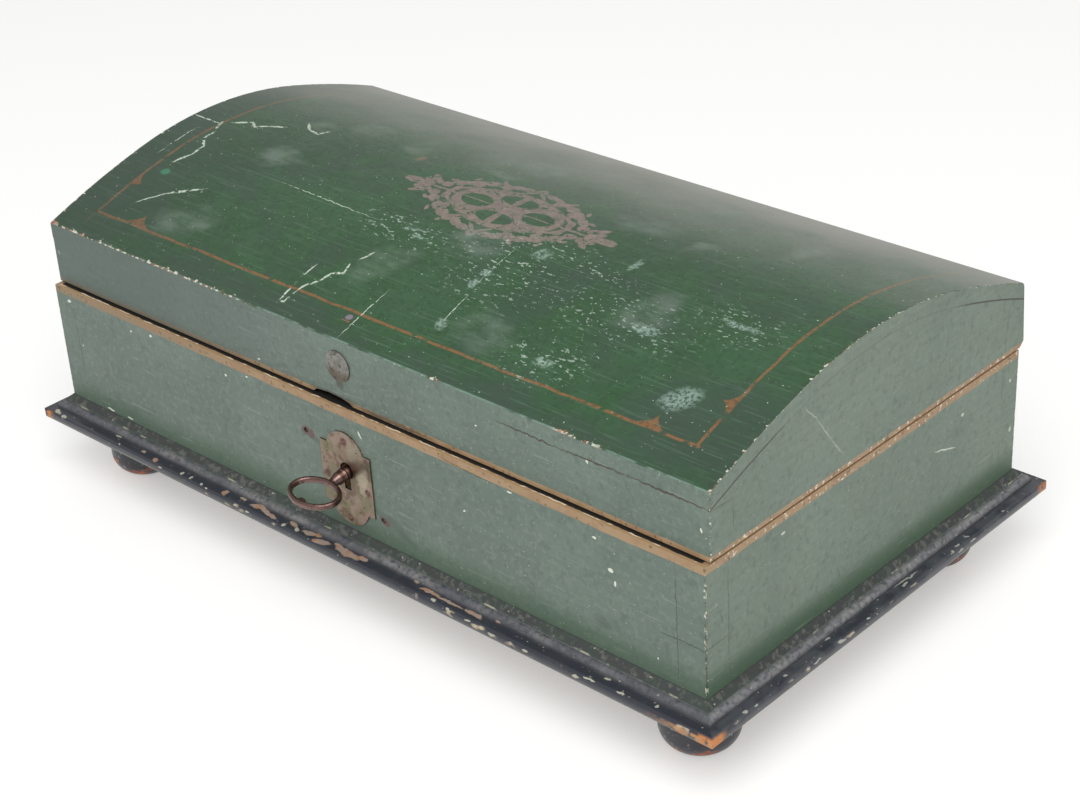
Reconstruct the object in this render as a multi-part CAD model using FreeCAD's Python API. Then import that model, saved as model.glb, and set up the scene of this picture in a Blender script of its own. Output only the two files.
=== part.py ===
import FreeCAD, Part
import math
import os

# Painted wooden keepsake box with an arched lid, ball feet, an iron lock and its key.
# Millimetres. +Z is up and the front faces -Y. The pieces are made around the middle of
# the carcass, then moved so that the origin is on the floor under the middle of the whole
# object, from the back of its base to the front of the key's bow.

Vector = FreeCAD.Vector

# Carcass
box_width = 400.0
box_depth = 216.0
carcass_height = 60.0
front_board = 14.0
back_board = 12.0
end_board = 13.0

# Base board and its moulded edge: how far each point stands out from the carcass,
# and how far it lies under the carcass
base_thickness = 13.0
bevel_out = 3.2
bevel_drop = 2.7
step_out = 3.4
step_drop = 3.4
ovolo_middle = (5.7, 4.5)
ovolo_out = 6.6
ovolo_drop = 6.6
nose_start = (9.6, 6.9)
nose_shoulder = (11.3, 7.4)
nose_out = 12.0
nose_drop = 9.1
nose_under = (11.3, 11.5)
nose_end = 9.4
base_corner_radius = 3.0

# Turned feet
foot_height = 30.6
foot_radius = 17.3
foot_middle = 11.6
foot_sole_radius = 8.0
foot_top_of_ball = 23.2
foot_neck_radius = 10.5
foot_collar_radius = 12.5
foot_collar_height = 3.0
foot_groove_depth = 0.7
foot_groove_width = 1.4
foot_groove_height = 17.0
foot_inset = 22.0
back_foot_inset = 24.0
tenon_radius = 7.0
tenon_length = 9.0

# Lid
lid_gap = 0.6
lid_side_height = 30.4
lid_front_step = 3.5
lid_rear_overhang = 3.0
lid_rear_chamfer = 2.8
lid_rear_lean = 2.0
lid_rail = 14.2
lid_end = 13.0
lid_board = 7.0
crown_radius = 200.0
crown_half_width = 50.0
flank_radius = 480.0
front_arris_radius = 0.8
rear_arris_radius = 3.5
rebate_height = 6.9
rebate_depth = 7.3

# Chip broken out of the lid's lower front edge, above the lock
chip_outline = [(-19.0, 0.0), (-16.5, 1.9), (-9.0, 2.7), (-1.0, 2.3), (3.5, 1.5), (6.5, 0.0)]

# Cut nails
nail_shank = 2.2
nail_head_long = 4.6
nail_head_wide = 3.0
nail_head_thick = 1.0
corner_nail_length = 38.0
corner_nail_heights = [12.0, 30.0, 48.0]
base_nail_length = 34.0
base_nail_front_xs = [-150.0, -60.0, 60.0, 150.0]
base_nail_end_ys = [-55.0, 0.0, 55.0]
rail_nail_length = 36.0
rail_nail_heights = [4.0, 15.5]
top_nail_length = 18.0
top_nail_xs = [-172.0, -104.0, -36.0, 36.0, 104.0, 172.0]
top_nail_edge_distance = 7.8
top_nail_end_offsets = [-62.0, 0.0, 62.0]
middle_nail_x = -4.4
middle_nail_from_front = 11.2
middle_nail_length = 12.0

# Butt hinges
hinge_from_end = 75.0
hinge_length = 50.0
hinge_leaf_thickness = 1.2
hinge_leaf_reach = 10.0
barrel_radius = 2.5
barrel_room = 0.3
knuckle_gap = 0.25
hinge_pin_radius = 1.1
hinge_pin_clearance = 0.05
hinge_pin_head_radius = 1.9
hinge_pin_head_length = 1.0
hinge_screw_spacing = 17.0
hinge_screw_inset = 4.6
screw_radius = 1.2
screw_head_radius = 2.2
screw_length = 11.0
screw_tip_length = 2.5
screw_slot_width = 0.6
screw_slot_depth = 0.5

# Escutcheon
plate_x = 2.2
plate_height_above_base = 25.9
plate_thickness = 0.8
plate_half_width = 15.6
plate_half_body = 15.0
plate_half_height = 23.0
plate_lobe_half_width = 11.4
plate_pin_radius = 0.7
plate_pin_head_radius = 1.25
plate_pin_head_height = 0.5
plate_pin_length = 8.0
plate_pin_spots = [(0.0, 18.5), (-12.4, -1.4), (12.0, -2.6), (-0.4, -19.8)]

# Keyhole, measured at the plate
keyhole_height_above_base = 30.0
keyhole_radius = 3.9
keyhole_slot_width = 4.0
keyhole_slot_drop = 9.4
board_hole_room = 0.7
old_nail_radius = 1.1
old_nail_depth = 6.0
old_nail_spots = [(-22.9, 41.2), (22.3, 11.8)]

# Key: distances along its axis are counted inwards from the plate's face
key_x = 2.4
key_height_above_base = 29.2
key_droop = 6.5
shank_radius = 3.0
shank_inner_end = 26.0
pipe_depth = 16.0
pin_clearance = 0.05
collar_radius = 3.35
collar_start = 0.7
collar_length = 1.1
collar_groove_radius = 2.7
collar_groove_length = 0.6
neck_radius = 2.0
bow_near = 8.6
bow_aside = -1.1
bow_half_width = 14.0
bow_half_length = 9.6
bow_band = 2.2
bow_band_height = 2.9
bow_rounding = 1.0
nib_length = 1.2
nib_half_width = 2.0
nib_height = 2.4
bit_start = 18.1
bit_length = 7.0
bit_reach = 9.5
bit_thickness = 2.4
bit_notch = 1.3

# Lock: one pivoted catch turned by the key's bit
lock_depth = 12.5
lock_wall = 1.2
lock_left = 12.0
lock_right = 32.0
lock_below = 14.0
lock_above = 22.0
lug_length = 8.0
lug_height = 8.0
lug_inset = 2.0
drill_pin_radius = 1.5
drill_pin_reach = 16.0
catch_spacing = 23.0
catch_middle = 6.5
catch_thickness = 3.0
catch_hub_radius = 5.0
catch_hub_room = 0.3
catch_hole_clearance = 0.05
catch_pin_radius = 2.0
catch_pin_head_radius = 3.6
catch_pin_head_length = 1.0
catch_pin_head_room = 0.3
catch_arm_left = 1.5
catch_arm_width = 5.0
catch_nose_radius = 19.0
catch_nose_width = 3.0
catch_nose_tip = 10.6
catch_nose_root = 19.0
catch_tail_reach = 19.0
catch_tail_above = 5.2
catch_tail_below = 4.4
bit_room = 0.3
key_travel = 45.0
catch_travel = 24.0
mesh_steps = 9
spring_thickness = 0.6
spring_width = 2.8
spring_room = 0.3
spring_above_pivot = 4.0

# Staple in the lid that the catch swings into
staple_from_pivot = 6.0
staple_thickness = 3.0
staple_half_width = 4.5
eye_half_width = 2.5
eye_bottom = 14.5
eye_top = 20.1
staple_bottom_wall = 2.2
staple_slot_room = 0.8
staple_plate_left = 10.5
staple_plate_right = 27.5
staple_plate_thickness = 1.5
staple_plate_bottom = 9.4
staple_plate_height = 15.0
staple_gusset = 5.0
staple_nail_radius = 1.0
staple_nail_head_radius = 2.2
staple_nail_head_length = 0.9
staple_nail_length = 11.0
staple_nail_spots = [(-6.5, 6.0), (23.5, 6.0)]

# Domed stud on the lid's front, riveted through the rail and the staple's plate
stud_x = -0.7
stud_height_in_lid = 18.0
stud_radius = 7.2
stud_dome_height = 3.6
stud_rim = 0.7
stud_shank_radius = 2.0
stud_burr_radius = 3.4
stud_burr_length = 1.1

base_top = foot_height + base_thickness
rim = base_top + carcass_height
lid_bottom = rim + lid_gap
lid_shoulder = lid_bottom + lid_side_height
half_width = box_width / 2
half_depth = box_depth / 2
lid_front = -half_depth + lid_front_step
lid_back = half_depth + lid_rear_overhang
lid_centre = (lid_front + lid_back) / 2
lid_half_depth = (lid_back - lid_front) / 2
inner_front = -half_depth + front_board
inner_back = half_depth - back_board
rail_inner_front = lid_front + lid_rail
rail_inner_back = lid_back - lid_rail
hinge_axis_y = half_depth
hinge_axis_z = rim + lid_gap / 2
plate_face = -half_depth - plate_thickness

key_droop_angle = math.radians(key_droop)
key_inward = Vector(0, math.cos(key_droop_angle), math.sin(key_droop_angle))
key_start = Vector(key_x, plate_face, base_top + key_height_above_base)
catch_y = inner_front + catch_middle
key_at_catch = key_start + key_inward * ((catch_y - plate_face) / key_inward.y)
pivot_x = key_at_catch.x + catch_spacing
pivot_z = key_at_catch.z
lock_back = inner_front + lock_depth


def block(x0, x1, y0, y1, z0, z1):
    return Part.makeBox(x1 - x0, y1 - y0, z1 - z0, Vector(x0, y0, z0))


def rod(radius, start, end):
    run = end - start
    return Part.makeCylinder(radius, run.Length, start, run)


def solid_between(outline, run):
    return Part.Face(Part.Wire(outline)).extrude(run)


def path(start, steps, place):
    # One point in a step is a straight line to it, two points are an arc through the first.
    edges = []
    here = start
    for step in steps:
        if len(step) == 1:
            edges.append(Part.makeLine(place(*here), place(*step[0])))
        else:
            edges.append(Part.Arc(place(*here), place(*step[0]), place(*step[1])).toShape())
        here = step[-1]
    return edges


def polygon(points, place):
    return path(points[0], [[point] for point in points[1:] + points[:1]], place)


def across_x(y, z):
    return Vector(0, y, z)


def across_y(x, z):
    return Vector(x, 0, z)


def turned(points, centre, axis):
    # Points are (radius, distance along the axis), from the axis back to the axis.
    outline = polygon(points, across_y)
    shape = Part.Face(Part.Wire(outline)).revolve(Vector(0, 0, 0), Vector(0, 0, 1), 360)
    shape.Placement = FreeCAD.Placement(centre, FreeCAD.Rotation(Vector(0, 0, 1), axis))
    return shape


def mirrored_ends(shape):
    return shape.mirror(Vector(0, 0, 0), Vector(1, 0, 0))


def nail(head, inward, length):
    shank = block(-nail_shank / 2, nail_shank / 2, -nail_shank / 2, nail_shank / 2, 0, length)
    flat = block(-nail_head_long / 2, nail_head_long / 2, -nail_head_wide / 2, nail_head_wide / 2,
                 0, nail_head_thick)
    shape = flat.fuse(shank).removeSplitter()
    shape.Placement = FreeCAD.Placement(head, FreeCAD.Rotation(Vector(0, 0, 1), inward))
    return shape


def corner_nails():
    x = half_width - end_board / 2
    nails = []
    for side in (-1, 1):
        for height in corner_nail_heights:
            z = base_top + height
            nails.append(nail(Vector(side * x, -half_depth, z), Vector(0, 1, 0), corner_nail_length))
            nails.append(nail(Vector(side * x, half_depth, z), Vector(0, -1, 0), corner_nail_length))
    return Part.makeCompound(nails)


def base_nails():
    nails = []
    up = Vector(0, 0, 1)
    for x in base_nail_front_xs:
        for y in (-half_depth + front_board / 2, half_depth - back_board / 2):
            nails.append(nail(Vector(x, y, foot_height), up, base_nail_length))
    for side in (-1, 1):
        for y in base_nail_end_ys:
            x = side * (half_width - end_board / 2)
            nails.append(nail(Vector(x, y, foot_height), up, base_nail_length))
    return Part.makeCompound(nails)


def lid_rail_nails():
    x = half_width - lid_end / 2
    nails = []
    for side in (-1, 1):
        for height in rail_nail_heights:
            z = lid_bottom + height
            nails.append(nail(Vector(side * x, lid_front, z), Vector(0, 1, 0), rail_nail_length))
            nails.append(nail(Vector(side * x, lid_back, z), Vector(0, -1, 0), rail_nail_length))
    return Part.makeCompound(nails)


def lid_curve(offset, inset):
    # Height of the lid's arch at a distance from its middle, and the slope there.
    tangent_sine = crown_half_width / crown_radius
    tangent_cosine = math.sqrt(1 - tangent_sine ** 2)
    radius_step = flank_radius - crown_radius
    edge_sine = (lid_half_depth + radius_step * tangent_sine) / flank_radius
    flank_centre = lid_shoulder - flank_radius * math.sqrt(1 - edge_sine ** 2)
    crown_centre = flank_centre + radius_step * tangent_cosine
    distance = abs(offset)
    side = -1 if offset < 0 else 1
    if distance <= (crown_radius - inset) * tangent_sine:
        sine = distance / (crown_radius - inset)
        height = crown_centre + (crown_radius - inset) * math.sqrt(1 - sine ** 2)
    else:
        sine = (distance + radius_step * tangent_sine) / (flank_radius - inset)
        height = flank_centre + (flank_radius - inset) * math.sqrt(1 - sine ** 2)
    return height, side * sine


crown_top = lid_curve(0, 0)[0]


def under_arch(inset, reach, bottom):
    # Everything under the lid's arch, or under a curve parallel to it.
    turn = (crown_radius - inset) * crown_half_width / crown_radius
    middle = (reach + turn) / 2

    def spot(offset):
        return (lid_centre + offset, lid_curve(offset, inset)[0])

    steps = [
        [(lid_centre + reach, bottom)],
        [spot(reach)],
        [spot(middle), spot(turn)],
        [spot(0), spot(-turn)],
        [spot(-middle), spot(-reach)],
        [(lid_centre - reach, bottom)],
    ]
    outline = path((lid_centre - reach, bottom), steps, across_x)
    shape = solid_between(outline, Vector(box_width, 0, 0))
    shape.translate(Vector(-half_width, 0, 0))
    return shape


def top_arris(board, side):
    # The board's highest long edge at its front, side -1, or at its back, side 1.
    long_edges = [edge for edge in board.Edges if edge.Length > box_width - 1]
    return max(long_edges, key=lambda edge: side * edge.CenterOfMass.y + edge.CenterOfMass.z)


def along_box(points):
    # A cutter as long as the box, with this outline across it.
    shape = solid_between(polygon(points, across_x), Vector(box_width, 0, 0))
    shape.translate(Vector(-half_width, 0, 0))
    return shape


def planed_off_back():
    # The lid's back leans in, from the top of its chamfer to the arch.
    start = lid_bottom + lid_rear_chamfer
    lean_at_top = lid_rear_lean * (crown_top - start) / (lid_shoulder - start)
    return along_box([(lid_back, start), (lid_back + 1, start), (lid_back + 1, crown_top),
                      (lid_back - lean_at_top, crown_top)])


def lid_top():
    board = under_arch(0, lid_half_depth, lid_bottom)
    board = board.cut(under_arch(lid_board, lid_half_depth + 1, lid_bottom - 1))
    board = board.cut(planed_off_back())
    board = board.makeFillet(front_arris_radius, [top_arris(board, -1)])
    board = board.makeFillet(rear_arris_radius, [top_arris(board, 1)])
    return board.cut(lid_top_nails())


def lid_top_nails():
    nails = []
    spots = []
    for x in top_nail_xs:
        for side in (-1, 1):
            spots.append((x, side * (lid_half_depth - top_nail_edge_distance)))
    for side in (-1, 1):
        for offset in top_nail_end_offsets:
            spots.append((side * (half_width - lid_end / 2), offset))
    for x, offset in spots:
        height, sine = lid_curve(offset, 0)
        inward = Vector(0, -sine, -math.sqrt(1 - sine ** 2))
        nails.append(nail(Vector(x, lid_centre + offset, height), inward, top_nail_length))
    middle_y = lid_front + middle_nail_from_front
    middle_z = lid_curve(middle_y - lid_centre, 0)[0]
    nails.append(nail(Vector(middle_nail_x, middle_y, middle_z), Vector(0, 0, -1), middle_nail_length))
    return Part.makeCompound(nails)


def hinge_centres():
    x = half_width - hinge_from_end
    return [-x, x]


def barrel_hollow(centre):
    reach = hinge_length / 2 + hinge_pin_head_length + barrel_room
    start = Vector(centre - reach, hinge_axis_y, hinge_axis_z)
    end = Vector(centre + reach, hinge_axis_y, hinge_axis_z)
    return rod(barrel_radius + barrel_room, start, end)


def leaf_plate(centre, side):
    # side is -1 for the leaf in the carcass and 1 for the leaf in the lid.
    near = hinge_axis_z + side * lid_gap / 2
    far = near + side * hinge_leaf_thickness
    return block(centre - hinge_length / 2, centre + hinge_length / 2,
                 hinge_axis_y - hinge_leaf_reach, hinge_axis_y, min(near, far), max(near, far))


def knuckle_ranges(centre, side):
    third = hinge_length / 3
    start = centre - hinge_length / 2
    if side < 0:
        return [(start, start + third - knuckle_gap),
                (start + 2 * third + knuckle_gap, start + hinge_length)]
    return [(start + third, start + 2 * third)]


def other_side_ranges(centre, side):
    third = hinge_length / 3
    start = centre - hinge_length / 2
    if side < 0:
        return [(start + third - knuckle_gap, start + 2 * third + knuckle_gap)]
    return [(start, start + third), (start + 2 * third, start + hinge_length)]


def along_axis(radius, start, end):
    return rod(radius, Vector(start, hinge_axis_y, hinge_axis_z), Vector(end, hinge_axis_y, hinge_axis_z))


def hinge_screw_spots(centre, side):
    z = hinge_axis_z + side * lid_gap / 2
    y = hinge_axis_y - hinge_leaf_reach + hinge_screw_inset
    return [Vector(centre + step * hinge_screw_spacing, y, z) for step in (-1, 0, 1)]


def screw_outline():
    head_depth = screw_head_radius - screw_radius
    return [
        (0, 0),
        (screw_head_radius, 0),
        (screw_radius, head_depth),
        (screw_radius, screw_length - screw_tip_length),
        (0, screw_length),
    ]


def screw(head, inward, slot_turn):
    shape = turned(screw_outline(), Vector(0, 0, 0), Vector(0, 0, 1))
    slot = block(-screw_head_radius, screw_head_radius, -screw_slot_width / 2, screw_slot_width / 2,
                 0, screw_slot_depth)
    slot.rotate(Vector(0, 0, 0), Vector(0, 0, 1), slot_turn)
    shape = shape.cut(slot)
    shape.Placement = FreeCAD.Placement(head, FreeCAD.Rotation(Vector(0, 0, 1), inward))
    return shape


def screw_hole(head, inward):
    return turned(screw_outline(), head, inward)


def hinge_screws(side):
    screws = []
    for number, centre in enumerate(hinge_centres()):
        for step, spot in enumerate(hinge_screw_spots(centre, side)):
            slot_turn = 40 * step + 25 * number
            screws.append(screw(spot, Vector(0, 0, side), slot_turn))
    return Part.makeCompound(screws)


def hinge_screw_holes(side):
    holes = []
    for centre in hinge_centres():
        for spot in hinge_screw_spots(centre, side):
            holes.append(screw_hole(spot, Vector(0, 0, side)))
    return Part.makeCompound(holes)


def hinge_leaf(centre, side):
    leaf = leaf_plate(centre, side)
    for start, end in other_side_ranges(centre, side):
        leaf = leaf.cut(along_axis(barrel_radius + barrel_room, start, end))
    for start, end in knuckle_ranges(centre, side):
        leaf = leaf.fuse(along_axis(barrel_radius, start, end))
    bore = hinge_pin_radius if side < 0 else hinge_pin_radius + hinge_pin_clearance
    leaf = leaf.cut(along_axis(bore, centre - hinge_length, centre + hinge_length))
    leaf = leaf.cut(hinge_screw_holes(side))
    return leaf.removeSplitter()


def hinge_pin(centre):
    start = centre - hinge_length / 2
    end = centre + hinge_length / 2
    pin = along_axis(hinge_pin_radius, start, end)
    for end_of_pin, outward in ((start, -1), (end, 1)):
        pin = pin.fuse(along_axis(hinge_pin_head_radius, end_of_pin,
                                  end_of_pin + outward * hinge_pin_head_length))
    return pin.removeSplitter()


def keyhole(centre_height, room, y0, y1):
    centre = Vector(plate_x, y0, base_top + centre_height)
    hole = rod(keyhole_radius + room, centre, Vector(centre.x, y1, centre.z))
    slot_half = keyhole_slot_width / 2 + room
    slot = block(plate_x - slot_half, plate_x + slot_half, y0, y1,
                 centre.z - keyhole_slot_drop - room, centre.z)
    return hole.fuse(slot)


def escutcheon():
    centre_z = base_top + plate_height_above_base

    def spot(x, z):
        return Vector(plate_x + x, plate_face, centre_z + z)

    half_lobe = plate_lobe_half_width
    steps = [
        [(-plate_half_width, plate_half_body)],
        [(-half_lobe, plate_half_body)],
        [(0, plate_half_height), (half_lobe, plate_half_body)],
        [(plate_half_width, plate_half_body)],
        [(plate_half_width, -plate_half_body)],
        [(half_lobe, -plate_half_body)],
        [(0, -plate_half_height), (-half_lobe, -plate_half_body)],
        [(-plate_half_width, -plate_half_body)],
    ]
    outline = path((-plate_half_width, -plate_half_body), steps, spot)
    plate = solid_between(outline, Vector(0, plate_thickness, 0))
    plate = plate.cut(keyhole(keyhole_height_above_base, 0, plate_face - 1, -half_depth + 1))
    return plate.cut(escutcheon_pins())


def escutcheon_pins():
    pins = []
    for x, z in plate_pin_spots:
        points = [
            (0, -plate_pin_head_height),
            (plate_pin_head_radius * 0.7, -plate_pin_head_height * 0.7),
            (plate_pin_head_radius, 0),
            (plate_pin_radius, 0),
            (plate_pin_radius, plate_pin_length - plate_pin_radius),
            (0, plate_pin_length),
        ]
        spot = Vector(plate_x + x, plate_face, base_top + plate_height_above_base + z)
        pins.append(turned(points, spot, Vector(0, 1, 0)))
    return Part.makeCompound(pins)


def front_board_shape():
    board = block(-half_width, half_width, -half_depth, inner_front, base_top, rim)
    hole_height = keyhole_height_above_base + board_hole_room
    board = board.cut(keyhole(hole_height, board_hole_room, -half_depth - 1, inner_front + 1))
    for x, height in old_nail_spots:
        spot = Vector(x, -half_depth - 1, base_top + height)
        board = board.cut(rod(old_nail_radius, spot, Vector(x, -half_depth + old_nail_depth, spot.z)))
    board = board.cut(corner_nails())
    board = board.cut(base_nails())
    board = board.cut(escutcheon_pins())
    return board.cut(lock_screws())


def back_board_shape():
    board = block(-half_width, half_width, inner_back, half_depth, base_top, rim)
    for centre in hinge_centres():
        board = board.cut(barrel_hollow(centre))
        board = board.cut(leaf_plate(centre, -1))
    board = board.cut(hinge_screw_holes(-1))
    board = board.cut(corner_nails())
    return board.cut(base_nails())


def end_board_shape():
    board = block(half_width - end_board, half_width, inner_front, inner_back, base_top, rim)
    board = board.cut(corner_nails())
    return board.cut(base_nails())


def base_board():
    def moulded_slab(half_size, length, place, run):
        steps = [
            [(half_size, base_top)],
            [(half_size + bevel_out, base_top - bevel_drop)],
            [(half_size + step_out, base_top - step_drop)],
            [(half_size + ovolo_middle[0], base_top - ovolo_middle[1]),
             (half_size + ovolo_out, base_top - ovolo_drop)],
            [(half_size + nose_start[0], base_top - nose_start[1])],
            [(half_size + nose_shoulder[0], base_top - nose_shoulder[1]),
             (half_size + nose_out, base_top - nose_drop)],
            [(half_size + nose_under[0], base_top - nose_under[1]),
             (half_size + nose_end, foot_height)],
            [(0, foot_height)],
            [(0, base_top)],
        ]
        half = solid_between(path((0, base_top), steps, place), run * length)
        half.translate(run * (-length / 2))
        return half

    length = box_width + 4 * nose_out
    along_front = moulded_slab(half_depth, length, across_x, Vector(1, 0, 0))
    along_front = along_front.fuse(along_front.mirror(Vector(0, 0, 0), Vector(0, 1, 0)))
    along_end = moulded_slab(half_width, length, across_y, Vector(0, 1, 0))
    along_end = along_end.fuse(mirrored_ends(along_end))
    board = along_front.common(along_end)
    outer_x = half_width + nose_out
    outer_y = half_depth + nose_out
    rounded = block(-outer_x, outer_x, -outer_y, outer_y, foot_height - 1, base_top + 1)
    uprights = [edge for edge in rounded.Edges if abs(edge.CenterOfMass.x) > outer_x - 1
                and abs(edge.CenterOfMass.y) > outer_y - 1]
    rounded = rounded.makeFillet(base_corner_radius, uprights)
    board = board.common(rounded).removeSplitter()
    for x, y in foot_centres():
        board = board.cut(rod(tenon_radius, Vector(x, y, foot_height),
                              Vector(x, y, foot_height + tenon_length)))
    return board.cut(base_nails())


def foot_centres():
    spots = []
    for side, inset in ((-1, foot_inset), (1, back_foot_inset)):
        x = half_width - inset
        y = side * (half_depth - inset)
        spots += [(-x, y), (x, y)]
    return spots


def foot(x, y):
    groove_low = foot_groove_height - foot_groove_width / 2
    groove_high = foot_groove_height + foot_groove_width / 2
    collar_bottom = foot_height - foot_collar_height

    def ball_radius(height):
        # A slightly flattened ball: a quarter of an ellipse above and below its widest line.
        reach = foot_top_of_ball if height > foot_middle else 0
        rise = (height - foot_middle) / (reach - foot_middle)
        end_radius = foot_neck_radius if height > foot_middle else foot_sole_radius
        return end_radius + (foot_radius - end_radius) * math.sqrt(max(0, 1 - rise ** 2))

    def ball_spot(height):
        return (ball_radius(height), height)

    lower = foot_middle * 0.35
    steps = [
        [(foot_sole_radius, 0)],
        [ball_spot(lower), (foot_radius, foot_middle)],
        [ball_spot((foot_middle + groove_low) / 2), ball_spot(groove_low)],
        [(ball_radius(foot_groove_height) - foot_groove_depth, foot_groove_height)],
        [ball_spot(groove_high)],
        [ball_spot((groove_high + foot_top_of_ball) / 2), (foot_neck_radius, foot_top_of_ball)],
        [(foot_neck_radius, collar_bottom)],
        [(foot_collar_radius + foot_collar_height * 0.3, (collar_bottom + foot_height) / 2),
         (foot_collar_radius, foot_height)],
        [(tenon_radius, foot_height)],
        [(tenon_radius, foot_height + tenon_length)],
        [(0, foot_height + tenon_length)],
        [(0, 0)],
    ]
    outline = path((0, 0), steps, across_y)
    shape = Part.Face(Part.Wire(outline)).revolve(Vector(0, 0, 0), Vector(0, 0, 1), 360)
    shape.translate(Vector(x, y, 0))
    return shape


def lid_front_rail():
    rail = block(-half_width, half_width, lid_front, rail_inner_front, lid_bottom, crown_top)
    rail = rail.common(under_arch(lid_board, lid_half_depth + 1, lid_bottom - 1))
    rail = rail.cut(block(-half_width, half_width, rail_inner_front - rebate_depth, rail_inner_front,
                          lid_bottom, lid_bottom + rebate_height))
    chip = [(x, lid_bottom + height) for x, height in chip_outline]
    chip_cut = solid_between(polygon(chip, across_y), Vector(0, lid_rail, 0))
    chip_cut.translate(Vector(0, lid_front - 1, 0))
    rail = rail.cut(chip_cut)
    rail = rail.cut(lid_rail_nails())
    rail = rail.cut(lid_top_nails())
    rail = rail.cut(staple_nails())
    return rail.cut(lid_stud())


def lid_back_rail():
    rail = block(-half_width, half_width, rail_inner_back, lid_back, lid_bottom, crown_top)
    rail = rail.common(under_arch(lid_board, lid_half_depth + 1, lid_bottom - 1))
    rail = rail.cut(along_box([(half_depth, lid_bottom), (lid_back, lid_bottom),
                               (lid_back, lid_bottom + lid_rear_chamfer)]))
    rail = rail.cut(planed_off_back())
    for centre in hinge_centres():
        rail = rail.cut(barrel_hollow(centre))
        rail = rail.cut(leaf_plate(centre, 1))
    rail = rail.cut(hinge_screw_holes(1))
    rail = rail.cut(lid_rail_nails())
    return rail.cut(lid_top_nails())


def lid_end_shape():
    end = block(half_width - lid_end, half_width, rail_inner_front, rail_inner_back,
                lid_bottom, crown_top)
    end = end.common(under_arch(lid_board, lid_half_depth + 1, lid_bottom - 1))
    lug = block(half_width - lid_end, half_width, rail_inner_front - rebate_depth, rail_inner_front,
                lid_bottom, lid_bottom + rebate_height)
    end = end.fuse(lug).removeSplitter()
    end = end.cut(lid_rail_nails())
    return end.cut(lid_top_nails())


def lid_stud():
    height = lid_bottom + stud_height_in_lid
    plate_inside = rail_inner_front + staple_plate_thickness
    centre = Vector(stud_x, lid_front, height)
    dome = Part.makeSphere(
        (stud_radius ** 2 + stud_dome_height ** 2) / (2 * stud_dome_height),
        Vector(stud_x, lid_front - stud_rim - stud_dome_height
               + (stud_radius ** 2 + stud_dome_height ** 2) / (2 * stud_dome_height), height))
    outward = Vector(0, -1, 0)
    room = Part.makeCylinder(stud_radius, stud_dome_height + stud_rim, centre, outward)
    rim_disc = Part.makeCylinder(stud_radius, stud_rim, centre, outward)
    head = dome.common(room).fuse(rim_disc)
    shank = rod(stud_shank_radius, centre, Vector(stud_x, plate_inside, height))
    burr = rod(stud_burr_radius, Vector(stud_x, plate_inside, height),
               Vector(stud_x, plate_inside + stud_burr_length, height))
    return head.fuse(shank).fuse(burr).removeSplitter()


def lid_staple():
    plate_low = lid_bottom + staple_plate_bottom
    plate_high = plate_low + staple_plate_height
    plate = block(-staple_plate_left, staple_plate_right, rail_inner_front,
                  rail_inner_front + staple_plate_thickness, plate_low, plate_high)
    right = pivot_x - staple_from_pivot
    left = right - staple_thickness
    front = catch_y - staple_half_width
    back = catch_y + staple_half_width
    bottom = pivot_z + eye_bottom - staple_bottom_wall
    corner = staple_half_width * 0.3
    shelf = lid_bottom + rebate_height - 0.5
    steps = [
        [(front, bottom + staple_half_width)],
        [(front + corner, bottom + corner), (catch_y, bottom)],
        [(back - corner, bottom + corner), (back, bottom + staple_half_width)],
        [(back, shelf)],
        [(rail_inner_front + staple_plate_thickness, plate_low + staple_gusset)],
        [(rail_inner_front, plate_low + staple_gusset)],
        [(rail_inner_front, shelf)],
        [(front, shelf)],
    ]
    outline = path((front, shelf), steps, across_x)
    loop = solid_between(outline, Vector(staple_thickness, 0, 0))
    loop.translate(Vector(left, 0, 0))
    eye = block(left - 1, right + 1, catch_y - eye_half_width, catch_y + eye_half_width,
                pivot_z + eye_bottom, pivot_z + eye_top)
    eye_edges = [edge for edge in eye.Edges if edge.Length > staple_thickness + 1.9
                 and abs(edge.tangentAt(edge.FirstParameter).x) > 0.9]
    eye = eye.makeFillet(0.8, eye_edges)
    staple = plate.fuse(loop.cut(eye)).removeSplitter()
    staple = staple.cut(lid_stud())
    return staple.cut(staple_nails())


def staple_nails():
    nails = []
    face = rail_inner_front + staple_plate_thickness
    for x, height in staple_nail_spots:
        z = lid_bottom + staple_plate_bottom + height
        points = [
            (0, -staple_nail_head_length),
            (staple_nail_head_radius * 0.75, -staple_nail_head_length * 0.8),
            (staple_nail_head_radius, 0),
            (staple_nail_radius, 0),
            (staple_nail_radius, staple_nail_length - 2 * staple_nail_radius),
            (0, staple_nail_length),
        ]
        nails.append(turned(points, Vector(x, face, z), Vector(0, -1, 0)))
    return Part.makeCompound(nails)


def lug_spots():
    low = key_at_catch.z - lock_below + lug_inset
    high = key_at_catch.z + lock_above - lug_inset - lug_height
    left = key_at_catch.x - lock_left - lock_wall - lug_length
    right = key_at_catch.x + lock_right + lock_wall
    return [(left, low), (left, high), (right, low), (right, high)]


def lock_screws():
    screws = []
    for number, (x, z) in enumerate(lug_spots()):
        head = Vector(x + lug_length / 2, inner_front + lock_wall, z + lug_height / 2)
        screws.append(screw(head, Vector(0, -1, 0), 20 + 35 * number))
    return Part.makeCompound(screws)


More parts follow.
